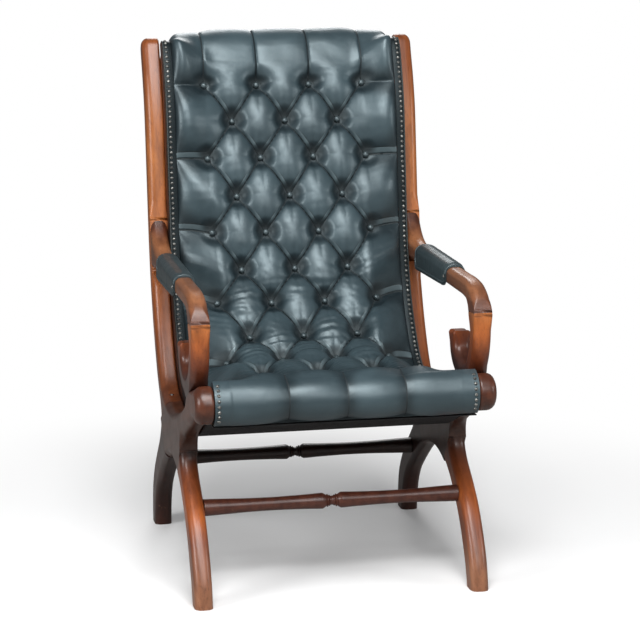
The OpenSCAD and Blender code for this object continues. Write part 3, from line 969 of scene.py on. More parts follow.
    def over_top(self, u: np.ndarray, up: np.ndarray) -> np.ndarray:
        """Gives the pillows' height above the buttons, where the pleats run over the crest.

        Args:
            u: Places across, in pitches.
            up: Distances above the first buttons, in rows.

        Returns:
            The heights as shares.
        """
        k = ease(up)
        bay = np.where(u > self.outermost, np.sqrt(np.sin(np.pi / 2 * np.clip(up, 0, 1))), 1.0)
        return 1 - (1 - self.rise(u, np.zeros_like(up)) ** (1 - 0.75 * k) * bay) * (1 - 0.7 * k)

    def crown_at(self, x: np.ndarray, rows: np.ndarray) -> np.ndarray:
        """Gives the leather's height above the button line, as a share of the pillows' height.

        Args:
            x: Places across, in metres.
            rows: Places down, counted in rows.

        Returns:
            The shares.
        """
        u = np.abs(x) / self.pitch
        v = rows - self.first_row
        low = self.rise(np.minimum(u, self.outermost), np.clip(v, 0, self.deepest))
        height = np.where(v < 0, self.over_top(u, -v), low)
        level = ease((rows + 0.5) / 1.5) - 0.75 * ease((rows - self.last_row) / 2)
        start = 0.8 + 0.11 * ease(-v)
        side = np.clip((np.abs(x) / self.half - start) / (1 - start), 0, 1)
        pocket = ease((self.from_button(x, v) - 0.004) / 0.028)
        return level * height * np.sqrt(np.maximum(1 - side**2, 0)) * (0.12 + 0.88 * pocket)

    def leather(self, x: np.ndarray, rows: np.ndarray, lift: np.ndarray | float) -> np.ndarray:
        """Gives places on the leather.

        Args:
            x: Places across, in metres, one array row for each row.
            rows: Places down, counted in rows, one for each array row.
            lift: Heights above the button line, in metres.

        Returns:
            The places as an array of row, point and coordinate.
        """
        mid, edge = on_line(self.button, rows), on_line(self.side, rows)
        step = on_line(self.button, rows + 1e-3) - on_line(self.button, rows - 1e-3)
        step /= np.linalg.norm(step, axis=1)[:, None]
        out = np.stack([step[:, 1], -step[:, 0]], axis=1)
        w = ease((np.abs(x) / self.half - 0.6) / 0.4)[:, :, None]
        flat = mid[:, None, :] * (1 - w) + edge[:, None, :] * w
        placed = flat + out[:, None, :] * np.broadcast_to(lift, x.shape)[:, :, None]
        return np.concatenate([x[:, :, None], placed], axis=2)


# Wooden frames


@dataclass(frozen=True)
class Member:
    """One shaped board of a side frame.

    Attributes:
        node: The node's name without its side.
        slot: The record's slot; not used.
        finish: Its finish.
        round_r: Radius of its rounded edges, in metres.
        inner_share: Share of that rounding on its inner face.
    """

    node: str
    slot: Slot
    finish: WoodFinish
    round_r: float = 0.012
    inner_share: float = 1.0


@dataclass
class Rim:
    """The rounding of a board's edge, with one row or number for each point of its outline.

    Attributes:
        line: The points of the outline, which is the board's section between its roundings.
        ways: The way in which each point moves in towards the board's faces.
        radius: How deep the rounding is there.
        moves: How far the point moves in on the face.
        waits: What is taken off that move for a point along a joint.
        limit: The angle at which its arc ends, a right one for a point away from joints.
    """

    line: np.ndarray
    ways: np.ndarray
    radius: np.ndarray
    moves: np.ndarray
    waits: np.ndarray
    limit: np.ndarray


@dataclass
class SideFrames:
    """The two side frames: the boards keep the solids' outlines and get rounded edges.

    Attributes:
        touch: Distance in metres under which two boards' outlines meet.
        taper: Length over which a rounding fades out beside a smooth joint.
        gentle: The largest turn of a smooth outline, in radians.
        steepest: How much a radius may change along each metre of an edge.
        room: Share of its radius that a rounding's inner end keeps from every free edge.
        shrink: Share that is left of a radius that finds no room.
        arc_steps: Number of steps in a rounding.
        outlines: Each board's outline by the board's name.
        members: The boards.
    """

    touch: float = 0.0009
    taper: float = 0.022
    gentle: float = math.radians(25)
    steepest: float = 0.45
    room: float = 0.96
    shrink: float = 0.85
    arc_steps: int = 5
    outlines: dict[str, np.ndarray] = field(default_factory=dict)
    members: tuple[Member, ...] = (
        Member("back_post", Slot.LIGHT_WOOD, WoodFinish("post_wood", POST_TONES, 70), 0.0155, 0.3),
        Member("seat_rail", Slot.DARK_WOOD, WoodFinish("rail_wood", RAIL_TONES, 160), 0.0165, 0.35),
        Member("front_leg", Slot.LIGHT_WOOD, WoodFinish("front_leg_wood", LEG_TONES, 55), 0.014),
        Member("rear_leg", Slot.LIGHT_WOOD, WoodFinish("rear_leg_wood", REAR_TONES, 120)),
        Member("arm", Slot.DARK_WOOD, WoodFinish("arm_wood", ARM_TONES, 0), 0.0125),
        Member("arm_scroll", Slot.LIGHT_WOOD, WoodFinish("scroll_wood", SCROLL_TONES, 70), 0.0135),
    )

    @staticmethod
    def outline(node: str) -> np.ndarray:
        """Reads a board's outline from the outer face of its solid.

        Args:
            node: The node's name.

        Returns:
            The outline's points, running anticlockwise.
        """
        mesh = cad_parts[node].data
        co = np.empty(len(mesh.vertices) * 3)
        mesh.vertices.foreach_get("co", co)
        co = co.reshape(-1, 3)
        outer = np.abs(co[:, 0]) > np.abs(co[:, 0]).max() - 1e-5
        keys = [tuple(np.round(p[1:], 6)) for p in co]
        edges = set()
        mesh.calc_loop_triangles()
        for triangle in mesh.loop_triangles:
            a, b, c = triangle.vertices
            if outer[a] and outer[b] and outer[c]:
                edges |= {(keys[a], keys[b]), (keys[b], keys[c]), (keys[c], keys[a])}
        follow = {a: b for a, b in edges if (b, a) not in edges}
        start = min(follow)
        points, here = [start], follow[start]
        while here != start:
            points.append(here)
            here = follow[here]
        line = np.array(points)
        after = np.roll(line, -1, axis=0)
        area = np.sum(line[:, 0] * after[:, 1] - line[:, 1] * after[:, 0])
        return line if area > 0 else line[::-1]

    @staticmethod
    def to_edges(points: np.ndarray, start: np.ndarray, end: np.ndarray) -> np.ndarray:
        """Gives the distances to the nearest of some straight edges.

        Args:
            points: The points, one a row.
            start: Where each edge starts.
            end: Where each edge ends.

        Returns:
            A distance for each point.
        """
        a, b, p = start[None, :, :], end[None, :, :], points[:, None, :]
        along = np.sum((p - a) * (b - a), axis=2) / np.maximum(np.sum((b - a) ** 2, axis=2), 1e-12)
        near = a + (b - a) * np.clip(along, 0, 1)[:, :, None]
        return np.linalg.norm(p - near, axis=2).min(axis=1)

    def from_others(self, node: str, points: np.ndarray) -> np.ndarray:
        """Gives the distances to the outlines of the other boards.

        Args:
            node: The board's name.
            points: The points, one a row.

        Returns:
            A distance for each point.
        """
        others = [line for other, line in self.outlines.items() if other != node]
        ends = [np.roll(line, -1, axis=0) for line in others]
        return self.to_edges(points, np.concatenate(others), np.concatenate(ends))

    def fitted(
        self, line: np.ndarray, ways: np.ndarray, radius: np.ndarray, held: np.ndarray
    ) -> np.ndarray:
        """Makes an edge's radii small enough for the board's width.

        Args:
            line: The outline's points.
            ways: Each point's way inwards.
            radius: Each point's wanted radius.
            held: Which edges meet another board.

        Returns:
            The radii.
        """
        after = np.roll(line, -1, axis=0)
        start, end = line[~held], after[~held]
        loose = ~held & ~np.roll(held, 1)
        for _ in range(14):
            tips = line + ways * radius[:, None]
            tight = loose & (self.to_edges(tips, start, end) < self.room * radius)
            radius = np.where(tight, radius * self.shrink, radius)
        slope = np.where(held, 1.0, self.steepest * np.linalg.norm(after - line, axis=1))
        for _ in range(12):
            radius = np.minimum(radius, np.roll(radius, -1) + slope)
            radius = np.minimum(radius, np.roll(radius + slope, 1))
        return radius

    @staticmethod
    def dense(line: np.ndarray, step: float = 0.006) -> np.ndarray:
        """Adds points to an outline.

        Args:
            line: The outline's points.
            step: The longest edge that it may have then.

        Returns:
            The new points.
        """
        out = []
        for a, b in zip(line, np.roll(line, -1, axis=0)):
            n = max(1, math.ceil(np.linalg.norm(b - a) / step))
            out += [a + (b - a) * k / n for k in range(n)]
        return np.array(out)

    def evened(self, line: np.ndarray, fixed: np.ndarray) -> np.ndarray:
        """Smooths an outline without shrinking it.

        Args:
            line: The outline's points.
            fixed: Which of them stay where they are.

        Returns:
            The new points.
        """
        ahead = np.roll(line, -1, axis=0) - line
        ahead /= np.linalg.norm(ahead, axis=1)[:, None]
        straight = np.sum(ahead * np.roll(ahead, 1, axis=0), axis=1) > math.cos(self.gentle)
        free = (straight & ~fixed)[:, None]
        for share in (0.5, -0.52) * 14:
            mean = (np.roll(line, 1, axis=0) + np.roll(line, -1, axis=0)) / 2
            line = line + np.where(free, share * (mean - line), 0.0)
        return line

    def rim(self, member: Member) -> Rim:
        """Works out a board's rounded edge, which stays square where boards meet.

        Args:
            member: The board.

        Returns:
            The edge's rounding.
        """
        line = self.dense(self.outlines[member.node])
        n = len(line)
        middles = (line + np.roll(line, -1, axis=0)) / 2
        held = (self.from_others(member.node, middles) < self.touch) | (middles[:, 1] < 1e-4)
        before, after = np.roll(held, 1), held
        line = self.evened(line, before | after)
        ahead = np.roll(line, -1, axis=0) - line
        ahead /= np.linalg.norm(ahead, axis=1)[:, None]
        back = np.roll(ahead, 1, axis=0)
        turn = np.arccos(np.clip(np.sum(ahead * back, axis=1), -1, 1))
        radius = np.full(n, member.round_r)
        soft_end = (before != after) & (turn < self.gentle)
        if soft_end.any():
            away = np.linalg.norm(line[:, None, :] - line[None, soft_end, :], axis=2)
            radius *= ease(away.min(axis=1) / self.taper)
        radius[before & after] = 0.0
        mean = np.stack([-(ahead + back)[:, 1], (ahead + back)[:, 0]], axis=1)
        mean /= np.linalg.norm(mean, axis=1)[:, None]
        ways = mean / np.maximum(np.cos(turn / 2), 0.6)[:, None]
        radius = self.fitted(line, ways, radius, held)
        moves, waits, limit = radius.copy(), np.zeros(n), np.full(n, math.radians(90))
        for i in np.flatnonzero((before != after) & ~soft_end):
            step = -1 if before[i] else 1
            ways[i] = -back[i] if before[i] else ahead[i]
            moves[i] = radius[i] / max(math.sin(turn[i]), 0.5)
            j, run = i, 0.0
            while True:
                j, last = (j + step) % n, j
                run += np.linalg.norm(line[j] - line[last])
                if run >= moves[i] or not (before[j] and after[j]):
                    break
                ways[j], moves[j], waits[j], radius[j] = ways[i], moves[i], run, radius[i]
                limit[j] = math.asin(1 - run / moves[i])
        return Rim(line, ways, radius, moves, waits, limit)

    def mesh(self, member: Member, rim: Rim, hand: Hand) -> bpy.types.Mesh:
        """Makes one board from its two rounded faces.

        Args:
            member: The board.
            rim: Its edge's rounding.
            hand: The side of the chair.

        Returns:
            The mesh.
        """
        low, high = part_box(f"{member.node}_{hand.word}")
        rings = []
        for face, way in ((low.x, 1.0), (high.x, -1.0)):
            share = member.inner_share if face * way > 0 else 1.0
            half = []
            for k in range(self.arc_steps + 1):
                a = np.minimum(math.radians(90) * k / self.arc_steps, rim.limit)
                moved = rim.moves * (1 - np.sin(a)) - rim.waits
                ring = np.empty((len(rim.line), 3))
                ring[:, 1:] = rim.line + share * rim.ways * moved[:, None]
                ring[:, 0] = face + share * way * rim.radius * (1 - np.cos(a))
                half.append(ring)
            rings += half if way > 0 else half[::-1]
        return ring_mesh(f"{member.node}_{hand.word}_shaped", np.array(rings))

    def build(self) -> list[bpy.types.Object]:
        """Builds every board of both frames.

        Returns:
            The pieces.
        """
        self.outlines = {m.node: self.outline(f"{m.node}_right") for m in self.members}
        made = []
        for member in self.members:
            finish, rim = member.finish.build(), self.rim(member)
            for hand in Hand:
                node = f"{member.node}_{hand.word}"
                piece = new_piece(f"{node}_shaped", self.mesh(member, rim, hand), finish)
                soften(piece)
                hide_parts(node)
                made.append(piece)
        return made


@dataclass
class Stretchers:
    """The two turned rails between the legs.

    Attributes:
        half: Half their length.
        end_r: Radius at the ends.
        slim_r: Radius of the slim stretch.
        neck_r: Radius of the neck in the middle.
        bead_steps: Number of steps along a bead.
        beads: Start and end of each bead, and its least and greatest radius as shares of `end_r`.
    """

    half: float = 0.2527
    end_r: float = 0.0165
    slim_r: float = 0.013
    neck_r: float = 0.009
    bead_steps: int = 8
    beads: tuple = ((0.012, 0.024, 0.58, 0.66), (0.028, 0.042, 0.63, 0.76))

    def profile(self) -> np.ndarray:
        """Gives the points of one half, from the neck in the middle to the leg.

        Returns:
            The points of radius and place.
        """
        points = [(0.0, 0.0), (self.neck_r, 0.0), (self.neck_r, 0.01)]
        for start, end, low, high in self.beads:
            for k in range(self.bead_steps + 1):
                t = k / self.bead_steps
                bulge = low + (high - low) * math.sin(math.pi * t) ** 0.7
                points.append((self.end_r * bulge, start + (end - start) * t))
        swell = np.array(
            [
                (self.end_r * 0.70, 0.046),
                (self.end_r * 0.82, 0.058),
                (self.end_r * 0.92, 0.070),
                (self.end_r * 0.94, 0.09),
                (self.slim_r * 1.10, 0.2),
                (self.slim_r, 0.42),
                (self.slim_r * 1.03, 0.64),
                (self.end_r * 0.93, 0.86),
                (self.end_r, 1.0),
            ]
        )
        points += [tuple(p) for p in on_line(swell, np.linspace(0, len(swell) - 1, 37))]
        half = np.array(points + [(0.0, 1.0)])
        half[:, 1] *= self.half
        return half

    def build(self) -> list[bpy.types.Object]:
        """Builds both stretchers.

        Returns:
            The pieces.
        """
        half = self.profile()
        other = half[::-1] * np.array([1.0, -1.0])
        made = []
        # The rear stretcher's darker tones are painted shade under the seat.
        for node, tones in (("front_stretcher", TURNED_TONES), ("rear_stretcher", SHADED_TONES)):
            low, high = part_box(node)
            mesh = lathe(f"{node}_turned", np.vstack([other[:-1], half[1:]]))
            centre = (low + high) / 2
            mesh.transform(Matrix.Translation((0, centre.y, centre.z)))
            finish = WoodFinish(f"{node}_wood", tones, 0).build()
            piece = new_piece(f"{node}_turned", mesh, finish)
            soften(piece, 50)
            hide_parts(node)
            made.append(piece)
        return made


# Repeated pieces


@dataclass
class Studs:
    """Nails and buttons, set on marked points by Geometry Nodes.

    Attributes:
        tree: The node tree, made when it is first used.
        seed: Seed of the studs' uneven lean.
    """

    tree: bpy.types.GeometryNodeTree | None = None
    seed: int = 7

    def make_tree(self) -> bpy.types.GeometryNodeTree:
        """Builds the tree that sets a stud on each point, with its head along `facing`.

        Returns:
            The tree.
        """
        tree = bpy.data.node_groups.new("set_studs", "GeometryNodeTree")
        sockets = {
            "Geometry": "NodeSocketGeometry",
            "Stud": "NodeSocketObject",
            "Width": "NodeSocketFloat",
            "Height": "NodeSocketFloat",
            "Tilt": "NodeSocketFloat",
            "Finish": "NodeSocketMaterial",
        }
        for name, kind in sockets.items():
            tree.interface.new_socket(name, in_out="INPUT", socket_type=kind)
        tree.interface.new_socket("Geometry", in_out="OUTPUT", socket_type="NodeSocketGeometry")
        n = Nodes(tree)
        group = n.add("NodeGroupInput")
        given = {name: n.value(group, name) for name in sockets}
        info = n.add("GeometryNodeObjectInfo", None, {"Object": given["Stud"]})
        vectors = {"data_type": "FLOAT_VECTOR"}
        facing = n.add("GeometryNodeInputNamedAttribute", vectors, {"Name": "facing"})
        whole = {"Min": (-1, -1, -1), "Max": (1, 1, 1), "Seed": self.seed}
        jitter = n.value(n.add("FunctionNodeRandomValue", vectors, whole))
        lean = n.add("ShaderNodeVectorMath", {"operation": "SCALE"}, {0: jitter, "Scale": given["Tilt"]})
        both = {0: n.value(facing, "Attribute"), 1: n.value(lean)}
        leaned = n.value(n.add("ShaderNodeVectorMath", {"operation": "ADD"}, both))
        turned = n.add("FunctionNodeAlignRotationToVector", {"axis": "Z"}, {"Vector": leaned})
        sizes = {"X": given["Width"], "Y": given["Width"], "Z": given["Height"]}
        size = n.add("ShaderNodeCombineXYZ", None, sizes)
        placed = {
            "Points": given["Geometry"],
            "Instance": n.value(info, "Geometry"),
            "Rotation": n.value(turned),
            "Scale": n.value(size),
        }
        points = n.value(n.add("GeometryNodeInstanceOnPoints", None, placed))
        real = n.value(n.add("GeometryNodeRealizeInstances", None, {0: points}))
        painted = n.add("GeometryNodeSetMaterial", None, {"Geometry": real, "Material": given["Finish"]})
        n.add("NodeGroupOutput", None, {0: n.value(painted)})
        return tree

    @staticmethod
    def dome(name: str, sides: int, heights: tuple[tuple[float, float], ...]) -> bpy.types.Object:
        """Makes a stud of radius 1 that stands on the origin.

        Args:
            name: The stud's name.
            sides: Number of sides.
            heights: Points of radius and height, from the rim to the top.

        Returns:
            The stud, which is removed once it has been set.
        """
        x, y = np.cos(circle(sides)), np.sin(circle(sides))
        rings = np.array([np.stack([r * x, r * y, np.full(sides, z)], axis=1) for r, z in heights])
        mesh = ring_mesh(name, rings, evenly_worn(rings, 0.75))
        mesh.shade_smooth()
        stud = bpy.data.objects.new(name, mesh)
        bpy.context.scene.collection.objects.link(stud)
        return stud

    def place(
        self,
        name: str,
        places: np.ndarray,
        facing: np.ndarray,
        stud: bpy.types.Object,
        size: tuple[float, float, float],
        finish: bpy.types.Material,
        slot: Slot,
    ) -> bpy.types.Object:
        """Sets studs on points.

        Args:
            name: The piece's name.
            places: The points.
            facing: The direction of each head.
            stud: The stud.
            size: Its radius, its height and the unevenness of its lean.
            finish: Its material.
            slot: Its slot in the record; not used.

        Returns:
            The piece, as one plain mesh.
        """
        self.tree = self.tree or self.make_tree()
        marks = bpy.data.meshes.new(f"{name}_marks")
        marks.from_pydata(places.tolist(), [], [])
        layer = marks.attributes.new("facing", "FLOAT_VECTOR", "POINT")
        layer.data.foreach_set("vector", np.ascontiguousarray(facing, np.float32).ravel())
        holder = bpy.data.objects.new(f"{name}_marks", marks)
        bpy.context.scene.collection.objects.link(holder)
        modifier = holder.modifiers.new("set_studs", "NODES")
        modifier.node_group = self.tree
        wanted = {"Stud": stud, "Width": size[0], "Height": size[1], "Tilt": size[2], "Finish": finish}
        for item in self.tree.interface.items_tree:
            if item.in_out == "INPUT" and item.name in wanted:
                modifier[item.identifier] = wanted[item.name]
        holder.update_tag()
        graph = bpy.context.evaluated_depsgraph_get()
        mesh = bpy.data.meshes.new_from_object(
            holder.evaluated_get(graph), preserve_all_data_layers=True, depsgraph=graph
        )
        holder.modifiers.remove(modifier)
        bpy.data.objects.remove(holder)
        return new_piece(name, mesh, finish)


# Upholstery

# Points of radius and height from the rim to the top, as shares of a stud's radius and height.
BUTTON_FORM = ((0.0, -0.3), (0.8, -0.3), (1.0, 0.1), (0.97, 0.45), (0.8, 0.78), (0.45, 0.96), (0.0, 1.0))
NAIL_FORM = ((0.0, -0.25), (1.0, -0.25), (1.0, 0.05), (0.86, 0.52), (0.5, 0.88), (0.0, 1.0))


@dataclass
class Upholstery:
    """The buttoned back and seat with their nailed edges.

    Attributes:
        lines: The side view.
        finish: The buttoned leather.
        plain: The leather of the buttons and the shoulder pads.
        band: The leather of the edge bands.
        gimp: The braid beside the wood.
        metal: The nails' metal.
        studs: What sets buttons and nails.
        across: Number of even points across the leather.
        step: Distance between its rows of points.
        seam: Half the slit between back and seat, in rows.
        webbing_t: Thickness of the webbing behind the cushions.
        swell_h: Height of the pillows' uneven swells.
        crease_h: Height of the worn leather's creases.
        fine_h: Height of its finer creases.
        groove_h: Depth of the folds between the buttons.
        button_size: Radius, height and uneven lean of the buttons.
        button_lift: How far they stand above their pockets.
        nail_size: Radius, height and uneven lean of the nails.
        nail_pitch: Distance between nails.
        roll_nails: Number of nails on each end of the front roll.
        band_top: Row where the edge bands begin.
        band_t: Thickness of the bands at their edges.
        wrap: How far the bands reach round the side boards.
    """

    lines: Lines
    finish: bpy.types.Material
    plain: bpy.types.Material
    band: bpy.types.Material
    gimp: bpy.types.Material
    metal: bpy.types.Material
    studs: Studs
    across: int = 216
    step: float = 0.0022
    seam: float = 0.004
    webbing_t: float = 0.002
    swell_h: float = 0.0008
    crease_h: float = 0.0009
    fine_h: float = 0.0003
    groove_h: float = 0.0018
    button_size: tuple = (0.0064, 0.0060, 0.09)
    button_lift: float = 0.0036
    nail_size: tuple = (0.0035, 0.0027, 0.07)
    nail_pitch: float = 0.0105
    roll_nails: int = 8
    band_top: float = 2.15
    band_t: float = 0.0014
    wrap: float = 0.024

    def columns(self) -> np.ndarray:
        """Gives places across, which lie closer together at the edges.

        Returns:
            The places as shares of the half width.
        """
        even = np.linspace(-1, 1, self.across)
        edge = np.array([0.9925, 0.9965, 0.999])
        return np.sort(np.concatenate([even, edge, -edge]))

    def rows(self, start: float, end: float) -> np.ndarray:
        """Gives rows at even distances along the button line.

        Args:
            start: First row.
            end: Last row.

        Returns:
            The rows.
        """
        fine = np.linspace(start, end, 800)
        way = np.linalg.norm(np.diff(on_line(self.lines.button, fine), axis=0), axis=1)
        length = np.concatenate([[0], np.cumsum(way)])
        return np.interp(np.linspace(0, length[-1], math.ceil(length[-1] / self.step)), length, fine)

    def relief(self, x: np.ndarray, rows: np.ndarray, crown: np.ndarray) -> np.ndarray:
        """Gives the small unevenness of the stuffed leather.

        Args:
            x: Places across, in metres.
            rows: Places down, counted in rows.
            crown: The pillows' heights as shares.

        Returns:
            Heights in metres.
        """
        d = rows * self.lines.row_step
        wear = 0.12 + 0.88 * ease((rows - 8) / 3)
        swells = np.sin(31 * x + 3.1 * np.sin(17 * d)) * np.sin(27 * d + 2.3 * np.sin(23 * x + 1.0))
        patches = ease((np.sin(17 * x + 45 * d) + 0.3) / 0.8)
        creases = np.sin(300 * d + 2.0 * np.sin(25 * x + 30 * d)) * patches
        fine = np.sin(310 * d - 150 * x + 4.0 * np.sin(37 * x)) * np.sin(71 * x + 49 * d)
        near = np.minimum(*self.lines.waves(*self.lines.folds(x, rows)))
        groove = self.groove_h * np.exp(-((near / 0.07) ** 2)) * ease(crown / 0.3)
        worn = wear * (self.crease_h * creases + self.fine_h * fine)
        return crown**0.5 * (self.swell_h * swells + worn) - groove

    def skin(self, name: str, start: float, end: float, rear: np.ndarray) -> bpy.types.Mesh:
        """Skins the leather between two rows.

        Args:
            name: The mesh's name.
            start: First row.
            end: Last row.
            rear: Rows, each with the place of the cushion's rear line.

        Returns:
            The mesh.
        """
        rows = self.rows(start, end)
        shares = self.columns()
        x = np.broadcast_to(shares * self.lines.half, (len(rows), len(shares)))
        crown = self.lines.crown_at(x, rows[:, None])
        lift = self.lines.pillow * crown + self.relief(x, rows[:, None], crown)
        front = self.lines.leather(x, rows, lift)
        back = np.array([np.interp(rows, rear[:, 0], rear[:, k]) for k in (1, 2)]).T
        rings = self.closed(front, back, self.lines.half)
        return ring_mesh(name, rings, self.facts(x, rows[:, None], crown))

    @staticmethod
    def closed(front: np.ndarray, back: np.ndarray, edge: float | np.ndarray) -> np.ndarray:
        """Closes rows of leather with two rear points each.

        Args:
            front: The leather's points, as an array of row, point and coordinate.
            back: The rear line's place at each row.
            edge: Half the rear side's width, for all rows or for each.

        Returns:
            The closed rows.
        """
        tail = np.empty((len(front), 2, 3))
        tail[:, 0, 0], tail[:, 1, 0] = edge, -np.asarray(edge)
        tail[:, :, 1:] = back[:, None, :]
        return np.concatenate([front, tail], axis=1)

    def facts(self, x: np.ndarray, rows: np.ndarray, crown: np.ndarray) -> dict[str, np.ndarray]:
        """Gives what the leather's finish reads from the mesh.

        Args:
            x: Places across, in metres.
            rows: Places down, counted in rows.
            crown: The pillows' heights as shares.

        Returns:
            The numbers by name, with values for the two rear points of each row.
        """
        across, down = self.lines.folds(x, rows)
        # The crown number makes the finish paler on the crowns, partly as wear and partly as a painted
        # highlight; the pocket number darkens it round each button as painted shade.
        pocket = ease((self.lines.from_button(x, rows - self.lines.first_row + 0.10) - 0.003) / 0.024)
        kept = {"crown": crown, "across": across, "down": down, "pocket": pocket}
        tail = np.full((len(crown), 2), 0.5)
        return {key: np.concatenate([numbers, tail], axis=1) for key, numbers in kept.items()}

    def back_cushion(self) -> bpy.types.Object:
        """Builds the buttoned back, which rolls over the crest rail.

        Returns:
            The piece.
        """
        lines = self.lines
        rows = np.linspace(0, lines.seam_row, 200)
        rear = lines.beyond(rows, -2 * GAP - self.webbing_t)
        over = on_line(lines.back(lines.over_crest), np.minimum(rows, lines.top_row))
        rear = np.where((rows < lines.top_row)[:, None], over, rear)
        table = np.column_stack([rows, rear])
        mesh = self.skin("back_leather", 0.0, lines.seam_row - self.seam, table)
        piece = new_piece("back_leather", mesh, self.finish)
        soften(piece, 75)
        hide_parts("back_cushion")
        return piece

    def front_roll(self, x: np.ndarray, angles: np.ndarray) -> tuple[np.ndarray, np.ndarray]:
        """Gives the leather round the front roll, with the pleats that run on from the seat.

        Args:
            x: Places across, in metres, one array row for each angle.
            angles: Places round the roll, in radians from the back, in a column.

        Returns:
            The places as an array of row, point and coordinate, and the pleats' heights as shares.
        """
        lines = self.lines
        u = np.minimum(np.abs(x) / lines.pitch, lines.outermost)
        fold = lines.rise(u, np.full(x.shape, float(lines.deepest)))
        fade = ease((angles - math.radians(95)) / math.radians(14))
        puff = 0.0012 * np.sin(26 * x + 0.7) * np.sin(2.2 * angles + 9 * x)
        pleat = 0.006 * (1 - fold) * np.where(np.abs(x) < lines.half, 1, 0)
        radius = lines.roll_r - pleat + puff * fade * (np.abs(x) < 0.22)
        y, z = lines.roll_mid
        return np.stack([x, y + radius * np.cos(angles), z + radius * np.sin(angles)], axis=2), fold

    def seat_cushion(self) -> bpy.types.Object:
        """Builds the buttoned seat with its front roll.

        Returns:
            The piece.
        """
        lines = self.lines
        last = lines.front_row
        rows = np.concatenate([self.rows(lines.seam_row + self.seam, last), [last + 0.5, last + 1.0]])
        shares = self.columns()
        wide = lines.inner_x - GAP
        edge = lines.half + (wide - lines.half) * np.clip(rows - last, 0, 1)
        x = shares[None, :] * edge[:, None]
        crown = lines.crown_at(x, rows[:, None])
        lift = lines.pillow * crown + self.relief(x, rows[:, None], crown)
        front = lines.leather(x, rows, lift)
        back = lines.beyond(np.minimum(rows, last), -2 * GAP - self.webbing_t)
        r, mid = lines.roll_r, lines.roll_mid
        low_z = mid[1] - 0.55 * r - 0.29 * r + GAP
        rear, fore = np.array([mid[0] + 0.85 * r, low_z]), np.array([mid[0] - 0.48 * r, low_z])
        back[-2:] = (back[-3] + rear) / 2, rear
        seat = self.closed(front, back, edge)
        angles = np.radians(np.arange(97, 236, 3.0))
        roll_x = np.broadcast_to(shares * wide, (len(angles), len(shares)))
        roll, fold = self.front_roll(roll_x, angles[:, None])
        under = rear + (fore - rear) * np.linspace(0, 1, len(angles))[:, None]
        rings = np.concatenate([seat, self.closed(roll, under, wide)], axis=0)
        # The roll's crown numbers make the finish paler on its crowns, partly as wear and partly as a
        # painted highlight, and darker in its pleats as painted shade.
        crowns = np.concatenate([crown, 0.25 + 0.75 * fold], axis=0)
        joint = slice(len(seat) - 4, len(seat))
        crowns[joint] = np.maximum(crowns[joint], 0.5)
        every_x = np.concatenate([x, roll_x], axis=0)
        every_row = np.concatenate([rows, np.full(len(angles), rows[-1])])[:, None]
        mesh = ring_mesh("seat_leather", rings, self.facts(every_x, every_row, crowns))
        piece = new_piece("seat_leather", mesh, self.finish)
        soften(piece, 75)
        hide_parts("seat_cushion")
        return piece

    def buttons(self) -> bpy.types.Object:
        """Sets the covered buttons in their pockets.

        Returns:
            The piece.
        """
        lines = self.lines
        places, facing = [], []
        for row in range(lines.first_row, lines.last_row + 1):
            reach = lines.reach(row - lines.first_row)
            xs = np.arange(-reach, reach + 0.5)[None, :] * lines.pitch
            at = np.array([float(row)])
            here = lines.leather(xs, at, 0.0)[0]
            out = lines.leather(xs, at, 1.0)[0] - here
            places += list(here + out * self.button_lift)
            facing += list(out)
        dome = self.studs.dome("button_form", 20, BUTTON_FORM)
        places, facing = np.array(places), np.array(facing)
        piece = self.studs.place(
            "covered_buttons", places, facing, dome, self.button_size, self.plain, Slot.LEATHER
        )
        bpy.data.objects.remove(dome)
        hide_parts("buttons")
        return piece

    def edge_bands(self) -> list[bpy.types.Object]:
        """Builds the bands over the side boards, the braids beside the wood and the shoulder pads.

        Returns:
            The pieces.
        """
        lines = self.lines
        inner, outer = lines.inner_x - GAP - lines.board_t, lines.inner_x - GAP
        path = lines.side_at(np.linspace(self.band_top, lines.front_row, 260), GAP)
        over = lines.side_at(np.linspace(self.band_top, lines.top_row + 0.12, 16))
        t = np.linspace(0, 1, 9)
        top = np.stack([inner + (outer - inner) * t, self.band_t + 0.0011 * np.sin(np.pi * t)], axis=1)
        frame_x, board_x, depth = lines.inner_x - 0.00003, outer + 0.00002, -self.wrap
        turn = [[frame_x, 0.0006], [frame_x, depth], [board_x, depth], [board_x, 0.0], [inner, 0.0]]
        band = np.vstack([top, turn])
        turns = np.linspace(0, 2 * np.pi, 12, endpoint=False)
        braid_x, braid_up = outer - 0.0016 + 0.0014 * np.cos(turns), 0.0022 + 0.0012 * np.sin(turns)
        braid = np.stack([braid_x, braid_up], axis=1)
        block = np.array([[inner, depth], [outer, depth], [outer, -0.0004], [inner, -0.0004]])
        made = []
        for hand in Hand:
            to_side = np.array([hand.value, 1])
            name = f"edge_band_{hand.word}"
            strip = new_piece(name, swept(name, path, band * to_side), self.band)
            soften(strip, 60)
            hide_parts(f"nail_strip_{hand.word}")
            name = f"edge_braid_{hand.word}"
            trim = new_piece(name, swept(name, path, braid * to_side), self.gimp)
            soften(trim, 60)
            name = f"shoulder_pad_{hand.word}"
            filler = new_piece(name, swept(name, over, block * to_side), self.plain)
            soften(filler, 50)
            made += [strip, trim, filler]
        return made

    def nails(self) -> list[bpy.types.Object]:
        """Drives the nails along the bands, round the ends of the roll and at the arm pads.

        Returns:
            The pieces.
        """
        lines = self.lines
        dome = self.studs.dome("nail_form", 12, NAIL_FORM)

